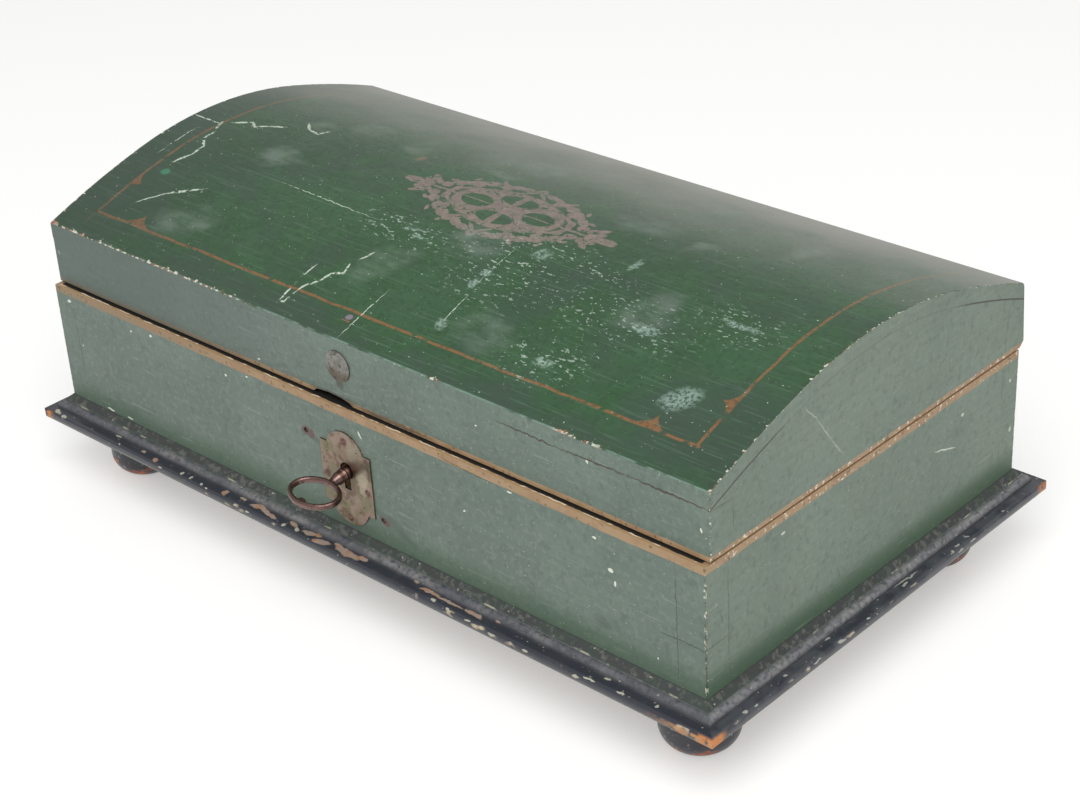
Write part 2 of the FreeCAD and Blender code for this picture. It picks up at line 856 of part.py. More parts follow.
def lock_case():
    left = key_at_catch.x - lock_left
    right = key_at_catch.x + lock_right
    bottom = key_at_catch.z - lock_below
    top = key_at_catch.z + lock_above
    case = block(left - lock_wall, right + lock_wall, inner_front, lock_back + lock_wall,
                 bottom - lock_wall, top + lock_wall)
    case = case.cut(block(left, right, inner_front - 1, lock_back, bottom, top))
    staple_right = pivot_x - staple_from_pivot
    staple_left = staple_right - staple_thickness
    case = case.cut(block(staple_left - staple_slot_room, staple_right + staple_slot_room,
                          inner_front - 1, lock_back - 0.6, top - 1, top + lock_wall + 1))
    for x, z in lug_spots():
        case = case.fuse(block(x, x + lug_length, inner_front, inner_front + lock_wall,
                               z, z + lug_height))
    case = case.removeSplitter()
    for x, z in lug_spots():
        head = Vector(x + lug_length / 2, inner_front + lock_wall, z + lug_height / 2)
        case = case.cut(screw_hole(head, Vector(0, -1, 0)))
    case = case.cut(catch_pin())
    return case.cut(drill_pin())


def drill_pin():
    start = key_start + key_inward * (shank_inner_end - pipe_depth + 1)
    wall = (lock_back + lock_wall - plate_face) / key_inward.y
    pin = rod(drill_pin_radius, start, key_start + key_inward * (wall + 2))
    return pin.common(block(-half_width, half_width, -half_depth, lock_back + lock_wall, 0, rim))


def catch_pin():
    inner = catch_y - catch_thickness / 2 - catch_pin_head_room - catch_pin_head_length
    pin = rod(catch_pin_radius, Vector(pivot_x, inner, pivot_z),
              Vector(pivot_x, lock_back + lock_wall, pivot_z))
    head = rod(catch_pin_head_radius, Vector(pivot_x, inner, pivot_z),
               Vector(pivot_x, inner + catch_pin_head_length, pivot_z))
    return pin.fuse(head).removeSplitter()


def lock_catch():
    front = catch_y - catch_thickness / 2
    back = catch_y + catch_thickness / 2
    hub = rod(catch_hub_radius, Vector(0, front, 0), Vector(0, lock_back - catch_hub_room, 0))
    arm = block(catch_arm_left, catch_arm_left + catch_arm_width, front, back, 0, catch_nose_radius)
    inner = catch_nose_radius - catch_nose_width / 2
    outer = catch_nose_radius + catch_nose_width / 2

    def spot(radius, angle):
        turn = math.radians(angle)
        return (-radius * math.sin(turn), radius * math.cos(turn))

    middle = (catch_nose_tip - catch_nose_root) / 2
    steps = [
        [spot(outer, middle), spot(outer, catch_nose_tip)],
        [spot(inner, catch_nose_tip)],
        [spot(inner, middle), spot(inner, -catch_nose_root)],
        [spot(outer, -catch_nose_root)],
    ]
    nose = solid_between(path(spot(outer, -catch_nose_root), steps, across_y),
                         Vector(0, catch_thickness, 0))
    nose.translate(Vector(0, front, 0))
    tail = block(-catch_tail_reach, 0, front, back, -catch_tail_below, catch_tail_above)
    for step in range(mesh_steps):
        share = step / (mesh_steps - 1)
        tail = tail.cut(bit_sweep(share * key_travel, share * catch_travel, front, back))
    shape = hub.fuse(arm).fuse(nose).fuse(tail).removeSplitter()
    bore = rod(catch_pin_radius + catch_hole_clearance, Vector(0, front - 1, 0),
               Vector(0, lock_back + 1, 0))
    shape = shape.cut(bore)
    shape.translate(Vector(pivot_x, 0, pivot_z))
    return shape


def bit_sweep(key_turn, catch_turn, front, back):
    # The space the key's bit needs at one moment, seen from the catch's own pivot.
    half = bit_thickness / 2 + bit_room
    space = block(0, bit_reach + bit_room, front - 1, back + 1, -half, half)
    space.rotate(Vector(0, 0, 0), Vector(0, 1, 0), key_turn)
    space.translate(Vector(-catch_spacing, 0, 0))
    space.rotate(Vector(0, 0, 0), Vector(0, 1, 0), catch_turn)
    return space


def catch_spring():
    x = pivot_x + catch_hub_radius + spring_room
    right = key_at_catch.x + lock_right
    bottom = key_at_catch.z - lock_below
    front = lock_back - catch_hub_room - spring_width
    back = lock_back - catch_hub_room
    upright = block(x, x + spring_thickness, front, back, bottom, pivot_z + spring_above_pivot)
    sole = block(x, right, front, back, bottom, bottom + spring_thickness)
    tab = block(right - spring_thickness, right, front, back, bottom, bottom + spring_above_pivot)
    return upright.fuse(sole).fuse(tab).removeSplitter()


def key():
    # Built with its axis on Y and the plate's face at zero, then set in the lock.
    inward = Vector(0, 1, 0)
    groove_start = -collar_start - collar_length
    groove_end = groove_start - collar_groove_length
    steps = [
        (0, -bow_near - bow_band / 2),
        (neck_radius, -bow_near - bow_band / 2),
        (neck_radius, -bow_near),
        (shank_radius, -bow_near / 2 - 1),
        (shank_radius, groove_end - collar_length),
        (collar_radius, groove_end),
        (collar_groove_radius, groove_end),
        (collar_groove_radius, groove_start),
        (collar_radius, groove_start),
        (collar_radius, -collar_start),
        (shank_radius, -collar_start),
        (shank_radius, shank_inner_end),
        (0, shank_inner_end),
    ]
    shape = turned(steps, Vector(0, 0, 0), inward)
    half = bit_thickness / 2
    bit = block(0, bit_reach, bit_start, bit_start + bit_length, -half, half)
    notch = block(bit_reach - 2 * bit_notch, bit_reach + 1, bit_start - 1, bit_start + bit_notch,
                  -half - 1, half + 1)
    pipe = rod(drill_pin_radius + pin_clearance, Vector(0, shank_inner_end - pipe_depth, 0),
               Vector(0, shank_inner_end + 1, 0))
    shape = shape.fuse(bit.cut(notch)).cut(pipe)
    centre = Vector(bow_aside, -bow_near - bow_half_length, 0)
    nib_y = centre.y - bow_half_length + bow_band
    nib = block(centre.x - nib_half_width, centre.x + nib_half_width, nib_y - bow_band / 2,
                nib_y + nib_length, -nib_height / 2, nib_height / 2)
    nib_edges = [edge for edge in nib.Edges if edge.Length < nib_height + 0.01
                 and abs(edge.CenterOfMass.y - nib_y - nib_length) < 0.01
                 and abs(edge.CenterOfMass.z) < 0.01]
    nib = nib.makeFillet(nib_length * 0.8, nib_edges)
    shape = shape.fuse(bow_ring(centre).fuse(nib))
    shape.rotate(Vector(0, 0, 0), Vector(1, 0, 0), key_droop)
    shape.translate(key_start)
    return shape


def bow_ring(centre):
    half = bow_band_height / 2

    def oval(a, b, low, high):
        curve = Part.Ellipse(Vector(0, 0, 0), a, b).toShape()
        disc = Part.Face(Part.Wire(curve)).extrude(Vector(0, 0, high - low))
        disc.translate(centre + Vector(0, 0, low))
        return disc

    ring = oval(bow_half_width, bow_half_length, -half, half)
    ring = ring.cut(oval(bow_half_width - bow_band, bow_half_length - bow_band, -half - 1, half + 1))
    rims = [edge for edge in ring.Edges if abs(abs(edge.CenterOfMass.z - centre.z) - half) < 0.01]
    return ring.makeFillet(bow_rounding, rims)


def build():
    end_right = end_board_shape()
    lid_end_right = lid_end_shape()
    parts = {
        "front_board": front_board_shape(),
        "back_board": back_board_shape(),
        "right_end": end_right,
        "left_end": mirrored_ends(end_right),
        "base_board": base_board(),
        "corner_nails": corner_nails(),
        "base_nails": base_nails(),
        "lid_top": lid_top(),
        "lid_front_rail": lid_front_rail(),
        "lid_back_rail": lid_back_rail(),
        "lid_right_end": lid_end_right,
        "lid_left_end": mirrored_ends(lid_end_right),
        "lid_top_nails": lid_top_nails(),
        "lid_rail_nails": lid_rail_nails(),
        "carcass_hinge_screws": hinge_screws(-1),
        "lid_hinge_screws": hinge_screws(1),
        "escutcheon": escutcheon(),
        "escutcheon_pins": escutcheon_pins(),
        "lock_case": lock_case(),
        "lock_screws": lock_screws(),
        "drill_pin": drill_pin(),
        "catch_pin": catch_pin(),
        "lock_catch": lock_catch(),
        "catch_spring": catch_spring(),
        "lid_staple": lid_staple(),
        "staple_nails": staple_nails(),
        "lid_stud": lid_stud(),
        "key": key(),
    }
    for name, (x, y) in zip(["front_left", "front_right", "back_left", "back_right"], foot_centres()):
        parts["foot_" + name] = foot(x, y)
    for name, centre in zip(["left", "right"], hinge_centres()):
        parts["hinge_leaf_carcass_" + name] = hinge_leaf(centre, -1)
        parts["hinge_leaf_lid_" + name] = hinge_leaf(centre, 1)
        parts["hinge_pin_" + name] = hinge_pin(centre)
    return parts


def middle_of_depth():
    front = key().optimalBoundingBox(False, False).YMin
    return (front + half_depth + nose_out) / 2


os.makedirs("parts", exist_ok=True)
to_frame = Vector(0, -middle_of_depth(), 0)
for node, solid in build().items():
    solid.translate(to_frame)
    solid.exportStep("parts/" + node + ".step")
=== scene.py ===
import math

import bmesh
import bpy
from mathutils import Matrix, Vector


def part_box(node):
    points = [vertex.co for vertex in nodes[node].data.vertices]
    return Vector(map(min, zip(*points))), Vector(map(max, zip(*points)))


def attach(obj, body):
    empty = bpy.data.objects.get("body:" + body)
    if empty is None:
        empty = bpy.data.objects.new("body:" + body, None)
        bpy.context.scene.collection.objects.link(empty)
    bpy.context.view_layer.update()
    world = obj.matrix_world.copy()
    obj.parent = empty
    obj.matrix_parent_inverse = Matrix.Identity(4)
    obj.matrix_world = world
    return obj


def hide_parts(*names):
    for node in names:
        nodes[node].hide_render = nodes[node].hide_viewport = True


bl_info = {
    "name": "Keepsake box",
    "version": (1, 0, 0),
    "blender": (4, 5, 0),
    "location": "View3D > Sidebar > Keepsake box",
    "description": "Paint, wear, metalwork and a studio for an arched wooden keepsake box",
    "category": "Object",
}

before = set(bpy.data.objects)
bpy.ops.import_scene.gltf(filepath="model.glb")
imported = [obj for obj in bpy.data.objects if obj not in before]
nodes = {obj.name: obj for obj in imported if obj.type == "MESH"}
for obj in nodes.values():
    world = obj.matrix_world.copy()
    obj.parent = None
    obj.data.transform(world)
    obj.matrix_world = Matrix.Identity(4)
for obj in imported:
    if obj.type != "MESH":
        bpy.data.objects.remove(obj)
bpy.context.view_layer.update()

MM = 0.001
front_low, front_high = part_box("front_board")
back_low, back_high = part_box("back_board")
lid_low, lid_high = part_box("lid_top")
base_low, base_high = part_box("base_board")

# Millimetres around the middle of the carcass, as every pattern reads them
middle_y = (front_low.y + back_high.y) / 2
half_width = front_high.x / MM
half_depth = (back_high.y - front_low.y) / 2 / MM
base_top = front_low.z / MM
rim = front_high.z / MM
shut_line = rim + 0.3
lid_front = (lid_low.y - middle_y) / MM
crown = lid_high.z / MM
plate_low, plate_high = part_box("escutcheon")
plate_x = (plate_low.x + plate_high.x) / 2 / MM
plate_z = (plate_low.z + plate_high.z) / 2 / MM
base_under = base_low.z / MM
arch_middle = 3.25
crown_radius = 200.0
crown_reach = 50.0
flank_radius = 480.0


def linear(hex_colour):
    """The linear colour that a written sRGB hex colour stands for."""
    channels = [int(hex_colour[i:i + 2], 16) / 255 for i in (1, 3, 5)]
    spread = [c / 12.92 if c <= 0.04045 else ((c + 0.055) / 1.055) ** 2.4 for c in channels]
    return (*spread, 1.0)


class Finish:
    """A surface built up coat by coat. Its patterns read millimetres on the piece itself."""

    def __init__(self, name, colour, roughness, **shader):
        self.material = bpy.data.materials.new(name)
        self.material.use_nodes = True
        self.tree = self.material.node_tree
        self.shader = self.tree.nodes["Principled BSDF"]
        for socket, value in shader.items():
            self.shader.inputs[socket.replace("_", " ")].default_value = value
        self.colour = linear(colour)
        self.roughness = roughness
        self.height = 0.0
        self.waves = {}
        spot = self.add("TexCoord", out="Object")
        self.place = self.add("Mapping", {"Vector": spot, "Scale": (1 / MM,) * 3,
                                          "Location": (0, -middle_y / MM, 0)})
        self.x, self.y, self.z = (self.add("SeparateXYZ", [self.place], out=axis) for axis in "XYZ")
        normal = self.add("TexCoord", out="Normal")
        self.facing_x, self.facing_y, self.facing_z = (
            self.add("SeparateXYZ", [normal], out=axis) for axis in "XYZ")
        self.top = (self.x, self.y)
        self.front = (self.x, self.z)
        self.side = (self.y, self.z)

    def add(self, kind, inputs=(), out=0, **settings):
        """Adds one shader node with its settings and links, and gives its output."""
        made = self.tree.nodes.new("ShaderNode" + kind)
        for name, value in settings.items():
            setattr(made, name, value)
        given = inputs.items() if isinstance(inputs, dict) else enumerate(inputs)
        for key, value in given:
            if isinstance(value, bpy.types.NodeSocket):
                self.tree.links.new(value, made.inputs[key])
            else:
                made.inputs[key].default_value = value
        return made.outputs[out]

    def sum(self, operation, *readings):
        """One sum on readings or numbers, such as ADD or ABSOLUTE."""
        return self.add("Math", readings, operation=operation)

    def beyond(self, value, limit, soft=0.3):
        """Where a reading is past a limit, with a soft edge."""
        return self.add("MapRange", {0: value, 1: limit - soft, 2: limit + soft, 3: 0.0, 4: 1.0},
                        interpolation_type="SMOOTHSTEP")

    def short_of(self, value, limit, soft=0.3):
        """Where a reading has not reached a limit, with a soft edge."""
        return self.add("MapRange", {0: value, 1: limit - soft, 2: limit + soft, 3: 1.0, 4: 0.0},
                        interpolation_type="SMOOTHSTEP")

    def within(self, value, low, high, soft=0.3):
        """Where a reading lies between two limits, with soft edges."""
        return self.where_all(self.beyond(value, low, soft), self.short_of(value, high, soft))

    def where_all(self, *masks):
        """Where every one of these masks is."""
        found = masks[0]
        for mask in masks[1:]:
            found = self.sum("MULTIPLY", found, mask)
        return found

    def where_any(self, *masks):
        """Where any of these masks is."""
        found = masks[0]
        for mask in masks[1:]:
            found = self.sum("MAXIMUM", found, mask)
        return found

    def where_not(self, mask):
        """Where a mask is not."""
        return self.sum("SUBTRACT", 1.0, mask)

    def blotches(self, size, share, soft=0.04, detail=2.0, stretch=(1, 1, 1), shift=0.0, likely=None,
                 turn=0.0):
        """Irregular patches about size millimetres across, covering about a share of the surface."""
        moved = self.add("Mapping", {"Vector": self.place, "Scale": stretch,
                                     "Rotation": (0, 0, math.radians(turn)),
                                     "Location": (shift, shift * 1.7, shift * 0.6)})
        noise = self.add("TexNoise", {"Vector": moved, "Scale": 0.6 / size, "Detail": detail,
                                      "Roughness": 0.6}, out="Fac")
        level = 0.5 + 0.36 * (0.5 - share)
        if likely is not None:
            raised = self.add("MapRange", {0: likely, 1: 0.0, 2: 1.0, 3: -0.3, 4: 0.0})
            noise = self.sum("ADD", noise, raised)
        return self.beyond(noise, level, soft)

    def wavy(self, sheet, size, far):
        """A flat view, as two readings, whose outlines wander by about far millimetres."""
        if size not in self.waves:
            noise = self.add("TexNoise", {"Vector": self.place, "Scale": 1 / size, "Detail": 1.0},
                             out="Color")
            self.waves[size] = [self.add("SeparateColor", [noise], out=channel)
                                for channel in ("Red", "Green")]
        return tuple(self.sum("ADD", reading, self.sum("MULTIPLY_ADD", wave, far * 4, -far * 2))
                     for reading, wave in zip(sheet, self.waves[size]))

    def local(self, sheet, across, up, long, wide, turn):
        """A flat view read from a centre, turned, in half sizes of a mark."""
        angle = math.radians(turn)
        rows = [(math.cos(angle) / long, math.sin(angle) / long),
                (-math.sin(angle) / wide, math.cos(angle) / wide)]
        return [self.add("VectorMath", [sheet, (a, b, -a * across - b * up)], out="Value",
                         operation="DOT_PRODUCT") for a, b in rows]

    def marks(self, sheet, spots, soft=0.2):
        """Where long or round marks lie on a flat view: centre, half sizes and turn in degrees."""
        flat = self.add("CombineXYZ", [*sheet, 1.0])
        nearest = None
        for across, up, long, wide, turn in spots:
            if turn:
                aside, rise = self.local(flat, across, up, long, wide, turn)
                reach = self.sum("MULTIPLY_ADD", rise, rise, self.sum("MULTIPLY", aside, aside))
            else:
                away = self.add("VectorMath", [flat, (1 / long, 1 / wide, 0),
                                               (-across / long, -up / wide, 0)],
                                operation="MULTIPLY_ADD")
                reach = self.add("VectorMath", [away, away], out="Value", operation="DOT_PRODUCT")
            nearest = reach if nearest is None else self.sum("MINIMUM", nearest, reach)
        return self.short_of(nearest, 1.0, soft * 1.6)

    def coat(self, mask, colour=None, roughness=None, height=None, cover=1.0):
        """Lays one coat over what is there, where its mask is: colour, roughness and height in mm."""
        if cover < 1.0:
            mask = self.sum("MULTIPLY", mask, cover)
        if colour is not None:
            self.colour = self.add("Mix", {0: mask, 6: self.colour, 7: linear(colour)}, out=2,
                                   data_type="RGBA")
        if roughness is not None:
            self.roughness = self.add("Mix", {0: mask, 2: self.roughness, 3: roughness})
        if height is not None:
            self.height = self.sum("ADD", self.height, self.sum("MULTIPLY", mask, height))

    def done(self):
        """Joins the coats to the shader."""
        self.tree.links.new(self.colour, self.shader.inputs["Base Color"])
        if isinstance(self.roughness, bpy.types.NodeSocket):
            self.tree.links.new(self.roughness, self.shader.inputs["Roughness"])
        else:
            self.shader.inputs["Roughness"].default_value = self.roughness
        if isinstance(self.height, bpy.types.NodeSocket):
            bump = self.add("Bump", {"Strength": 1.0, "Distance": MM, "Height": self.height})
            self.tree.links.new(bump, self.shader.inputs["Normal"])
        return self.material


def strokes(width, *points):
    """Long thin marks that join a row of points, each half as wide as given."""
    made = []
    for (a, b), (c, d) in zip(points, points[1:]):
        length = math.hypot(c - a, d - b)
        turn = math.degrees(math.atan2(d - b, c - a))
        made.append(((a + c) / 2, (b + d) / 2, length / 2 + width, width, turn))
    return made


PALE_SCUFFS = [(47, -26, 4.2, 3.4, 20), (33.5, -55, 1.9, 3.2, 15), (34, -47, 2.6, 2.2, 0),
               (38, -79, 2.6, 3.4, 30), (122, -47, 6.5, 2.6, -6), (95, -79, 5, 2.2, 0),
               (155, -28, 9, 1.7, 0), (88, -13, 2, 5, 0), (-12, -41, 4.5, 1.0, 0),
               (-20, -38, 4, 0.8, 10), (160, -72, 8, 5, 40)]
HAZE_SPOTS = [(-40, 36, 9, 9, 0), (-17, 44, 9, 12, 30), (71, 66, 14, 8, -20), (134, 44, 6, 13, 5),
              (100, 16, 7, 4, 35), (65, 19, 15, 7, 0), (-77, 27, 10, 8, 0), (-111, 27, 9, 7, 0),
              (-125, -20, 10, 9, 0), (-25, 23, 12, 3, 0), (-131, -76, 14, 10, 20),
              (-133, 13, 8, 6, 20), (115, -39, 10, 12, -20), (-15, -60, 9, 14, -30),
              (15, -32, 12, 10, 0), (60, -75, 14, 9, 0)]
SCRATCHES = [
    (0.55, (-24, -58), (-26.5, -63)), (0.6, (-29, -68), (-27.5, -73.5), (-32.5, -75.5), (-35, -82),
                                      (-39, -85.5), (-40, -89)),
    (0.5, (-44.5, -87), (-44, -97), (-41, -97), (-40.5, -90.5)), (0.35, (-44, -74), (-44.6, -82)),
    (0.5, (-200, -12), (-180, -12.6)), (0.8, (-180, -11), (-177, -17)),
    (0.8, (-174, -8), (-166, -3), (-161, -6), (-156, -2), (-148, 2)),
    (0.7, (-142, 12), (-136, 7), (-128, 5.5), (-126, 11)),
    (0.7, (-175, -20), (-175, -27), (-169, -32), (-169, -40), (-173, -48)),
    (0.7, (-156, -67), (-140, -57.5)), (0.4, (-166, -77), (-156, -67)),
    (0.25, (0.7, -75.5), (-0.8, -102)), (0.2, (-105, -37.6), (-45, -39.4)),
    (0.2, (34, -30), (35, -52)), (0.2, (37, -62), (37.6, -78)), (0.3, (-187, -23), (-187, -45)),
]

PLATE_PINS = [(0.0, 18.5), (-12.4, -1.4), (12.0, -2.6), (-0.4, -19.8)]

# The painted garland, folded twice about its own middle
GARLAND_MIDDLE = (6.5, -4.5)
PETALS = [(18.5, 0, 8.8, 5.4, 0), (0, 8.8, 10.6, 4.6, 0)]
VEINS = strokes(0.4, (9, 0), (27.5, 0)) + strokes(1.3, (0, 3), (1.0, 14))
HEART = [(0, 0, 31.0, 16.6, 0)]
CREASES = strokes(0.3, (5.5, 3.0), (12, 8.5), (20, 11.5)) + strokes(0.25, (11, 14), (20, 13.2), (25, 8))
LEAVES = [(57.5, 0.8, 6.0, 1.8, 0), (50.5, 1.2, 4.2, 2.4, 0), (50, 6.8, 4.2, 1.7, 38),
          (51, 4.8, 3.6, 1.4, -15), (46.2, 4.6, 2.6, 1.5, 60), (41, 4.4, 3.2, 2.4, 0),
          (36.8, 9.0, 4.3, 2.5, -35), (34.2, 3.8, 2.0, 3.2, 10), (30.4, 13.2, 4.6, 2.8, -40),
          (24.0, 16.8, 3.8, 2.7, -20), (18.6, 18.6, 3.2, 2.5, 10), (12.4, 20.2, 4.0, 2.2, -25),
          (7.2, 21.6, 3.6, 2.0, -12), (3.5, 19.6, 4.5, 0.9, -40), (1.3, 24.0, 2.8, 1.0, -50),
          (38, 0, 9.5, 0.8, 0), (15.5, 16.4, 2.8, 1.5, 0), (27.4, 11.2, 2.8, 1.6, -50),
          (21, 21.6, 2.0, 1.0, 30), (33.4, 17.0, 2.0, 1.0, -70), (41.4, 9.8, 2.2, 1.0, -20)]


def lay_pine(finish, stretch):
    """Bare pine, planed by hand: brown with age, its growth rings soft streaks along the board."""
    rings = finish.blotches(1.6, 0.5, soft=0.2, detail=4, stretch=stretch)
    finish.coat(rings, "#8d6a45", 0.72, cover=0.6)
    finish.coat(finish.blotches(50, 0.4, soft=0.15), "#7b6248", cover=0.5)
    finish.coat(finish.blotches(0.7, 0.3, soft=0.1, stretch=stretch, shift=9), "#6b4c30", None, -0.02,
                cover=0.5)


def lay_side_green(finish, where):
    """Oil paint brushed on by hand, dulled by age: low gloss, faint streaks, rubbed and dusty."""
    def on(mask):
        return finish.where_all(where, mask)

    finish.coat(where, "#58675e", 0.5)
    # Painted light: faces turned to the right get a lighter green than the front, standing for the brighter
    # light on that end.
    right = on(finish.beyond(finish.facing_x, 0.5))
    finish.coat(right, "#6b786a")
    smudges = finish.blotches(13, 0.32, soft=0.1, detail=3, stretch=(1, 1, 0.6), shift=201)
    finish.coat(finish.where_all(right, smudges), "#56645a", cover=0.4)
    finish.coat(on(finish.blotches(70, 0.5, soft=0.15)), "#56655a", cover=0.45)
    finish.coat(on(finish.blotches(28, 0.4, soft=0.1, shift=31)), "#68776c", cover=0.35)
    # Bristle marks are some tenths of a millimetre wide, drawn twice as coarse to show
    bristles = finish.blotches(1.0, 0.5, soft=0.15, detail=4, stretch=(0.05, 0.05, 1.0))
    finish.coat(on(bristles), "#4d5c53", 0.42, 0.018, cover=0.3)
    finish.coat(on(finish.blotches(1.6, 0.28, soft=0.1, shift=5)), "#7b857b", cover=0.25)
    finish.coat(on(finish.blotches(2.2, 0.2, soft=0.06, shift=17)), "#415046", cover=0.35)
    low = finish.add("MapRange", {0: finish.z, 1: base_top + 4, 2: base_top + 14, 3: 1.0, 4: 0.0},
                     interpolation_type="SMOOTHSTEP")
    finish.coat(on(low), "#2f4a31", 0.4, cover=0.5)
    finish.coat(finish.where_all(right, low), "#2c4a2f", 0.4, cover=0.6)
    specks = finish.blotches(0.7, -0.22, soft=0.02, detail=1, shift=3)
    finish.coat(on(specks), "#b8bcb2", 0.6, cover=0.6)
    hairs = finish.blotches(0.9, -0.05, soft=0.03, detail=2, stretch=(0.05, 0.05, 1), shift=44)
    finish.coat(on(hairs), "#8b958c", cover=0.3)


def lay_shut_bands(finish, where):
    """The ochre bands either side of the opening, wiped thin and rubbed by the lid."""
    wander = finish.blotches(9, 0.5, soft=0.3, detail=2, stretch=(1, 1, 0.2), shift=8)
    height = finish.sum("ADD", finish.z, finish.sum("MULTIPLY", wander, 0.5))
    lower_edge = finish.beyond(height, rim - 3.1, 0.15)
    upper_edge = finish.short_of(height, shut_line + 2.9, 0.15)
    band = finish.where_all(where, lower_edge, upper_edge)
    finish.coat(band, "#947a5b", 0.5)
    left = finish.short_of(finish.x, -80, 60)
    finish.coat(finish.where_all(band, left), "#7b694f", cover=0.8)
    finish.coat(finish.where_all(band, finish.blotches(6, 0.4, soft=0.08, shift=12)), "#86684a",
                cover=0.6)
    finish.coat(finish.where_all(band, finish.blotches(1.4, 0.12, soft=0.05, shift=2)), "#54432f",
                cover=0.7)
    at_end = finish.beyond(finish.sum("ABSOLUTE", finish.facing_x), 0.6)
    pale = finish.blotches(1.3, 0.16, soft=0.04, shift=21)
    finish.coat(finish.where_all(band, at_end, pale), "#cfc4b0", cover=0.85)


def lay_flakes(finish, where, distance, reach, size, share, shift=0.0):
    """Paint flaked off along an arris: cream ground, with some red-brown wood beneath it."""
    near = finish.add("MapRange", {0: distance, 1: 0.0, 2: reach, 3: 1.0, 4: 0.0})
    inside = finish.where_all(where, finish.short_of(distance, reach, 0.1))
    dark = finish.blotches(size * 1.4, share + 0.12, soft=0.03, shift=shift, likely=near)
    finish.coat(finish.where_all(inside, dark), "#3d3a30", 0.6, cover=0.5)
    ground = finish.blotches(size, share, soft=0.03, shift=shift, likely=near)
    finish.coat(finish.where_all(inside, ground), "#b9baaa", 0.7, -0.05)
    wood = finish.blotches(size, share - 0.12, soft=0.04, shift=shift + 50, likely=near)
    finish.coat(finish.where_all(inside, wood), "#8b5238", 0.7, cover=0.8)


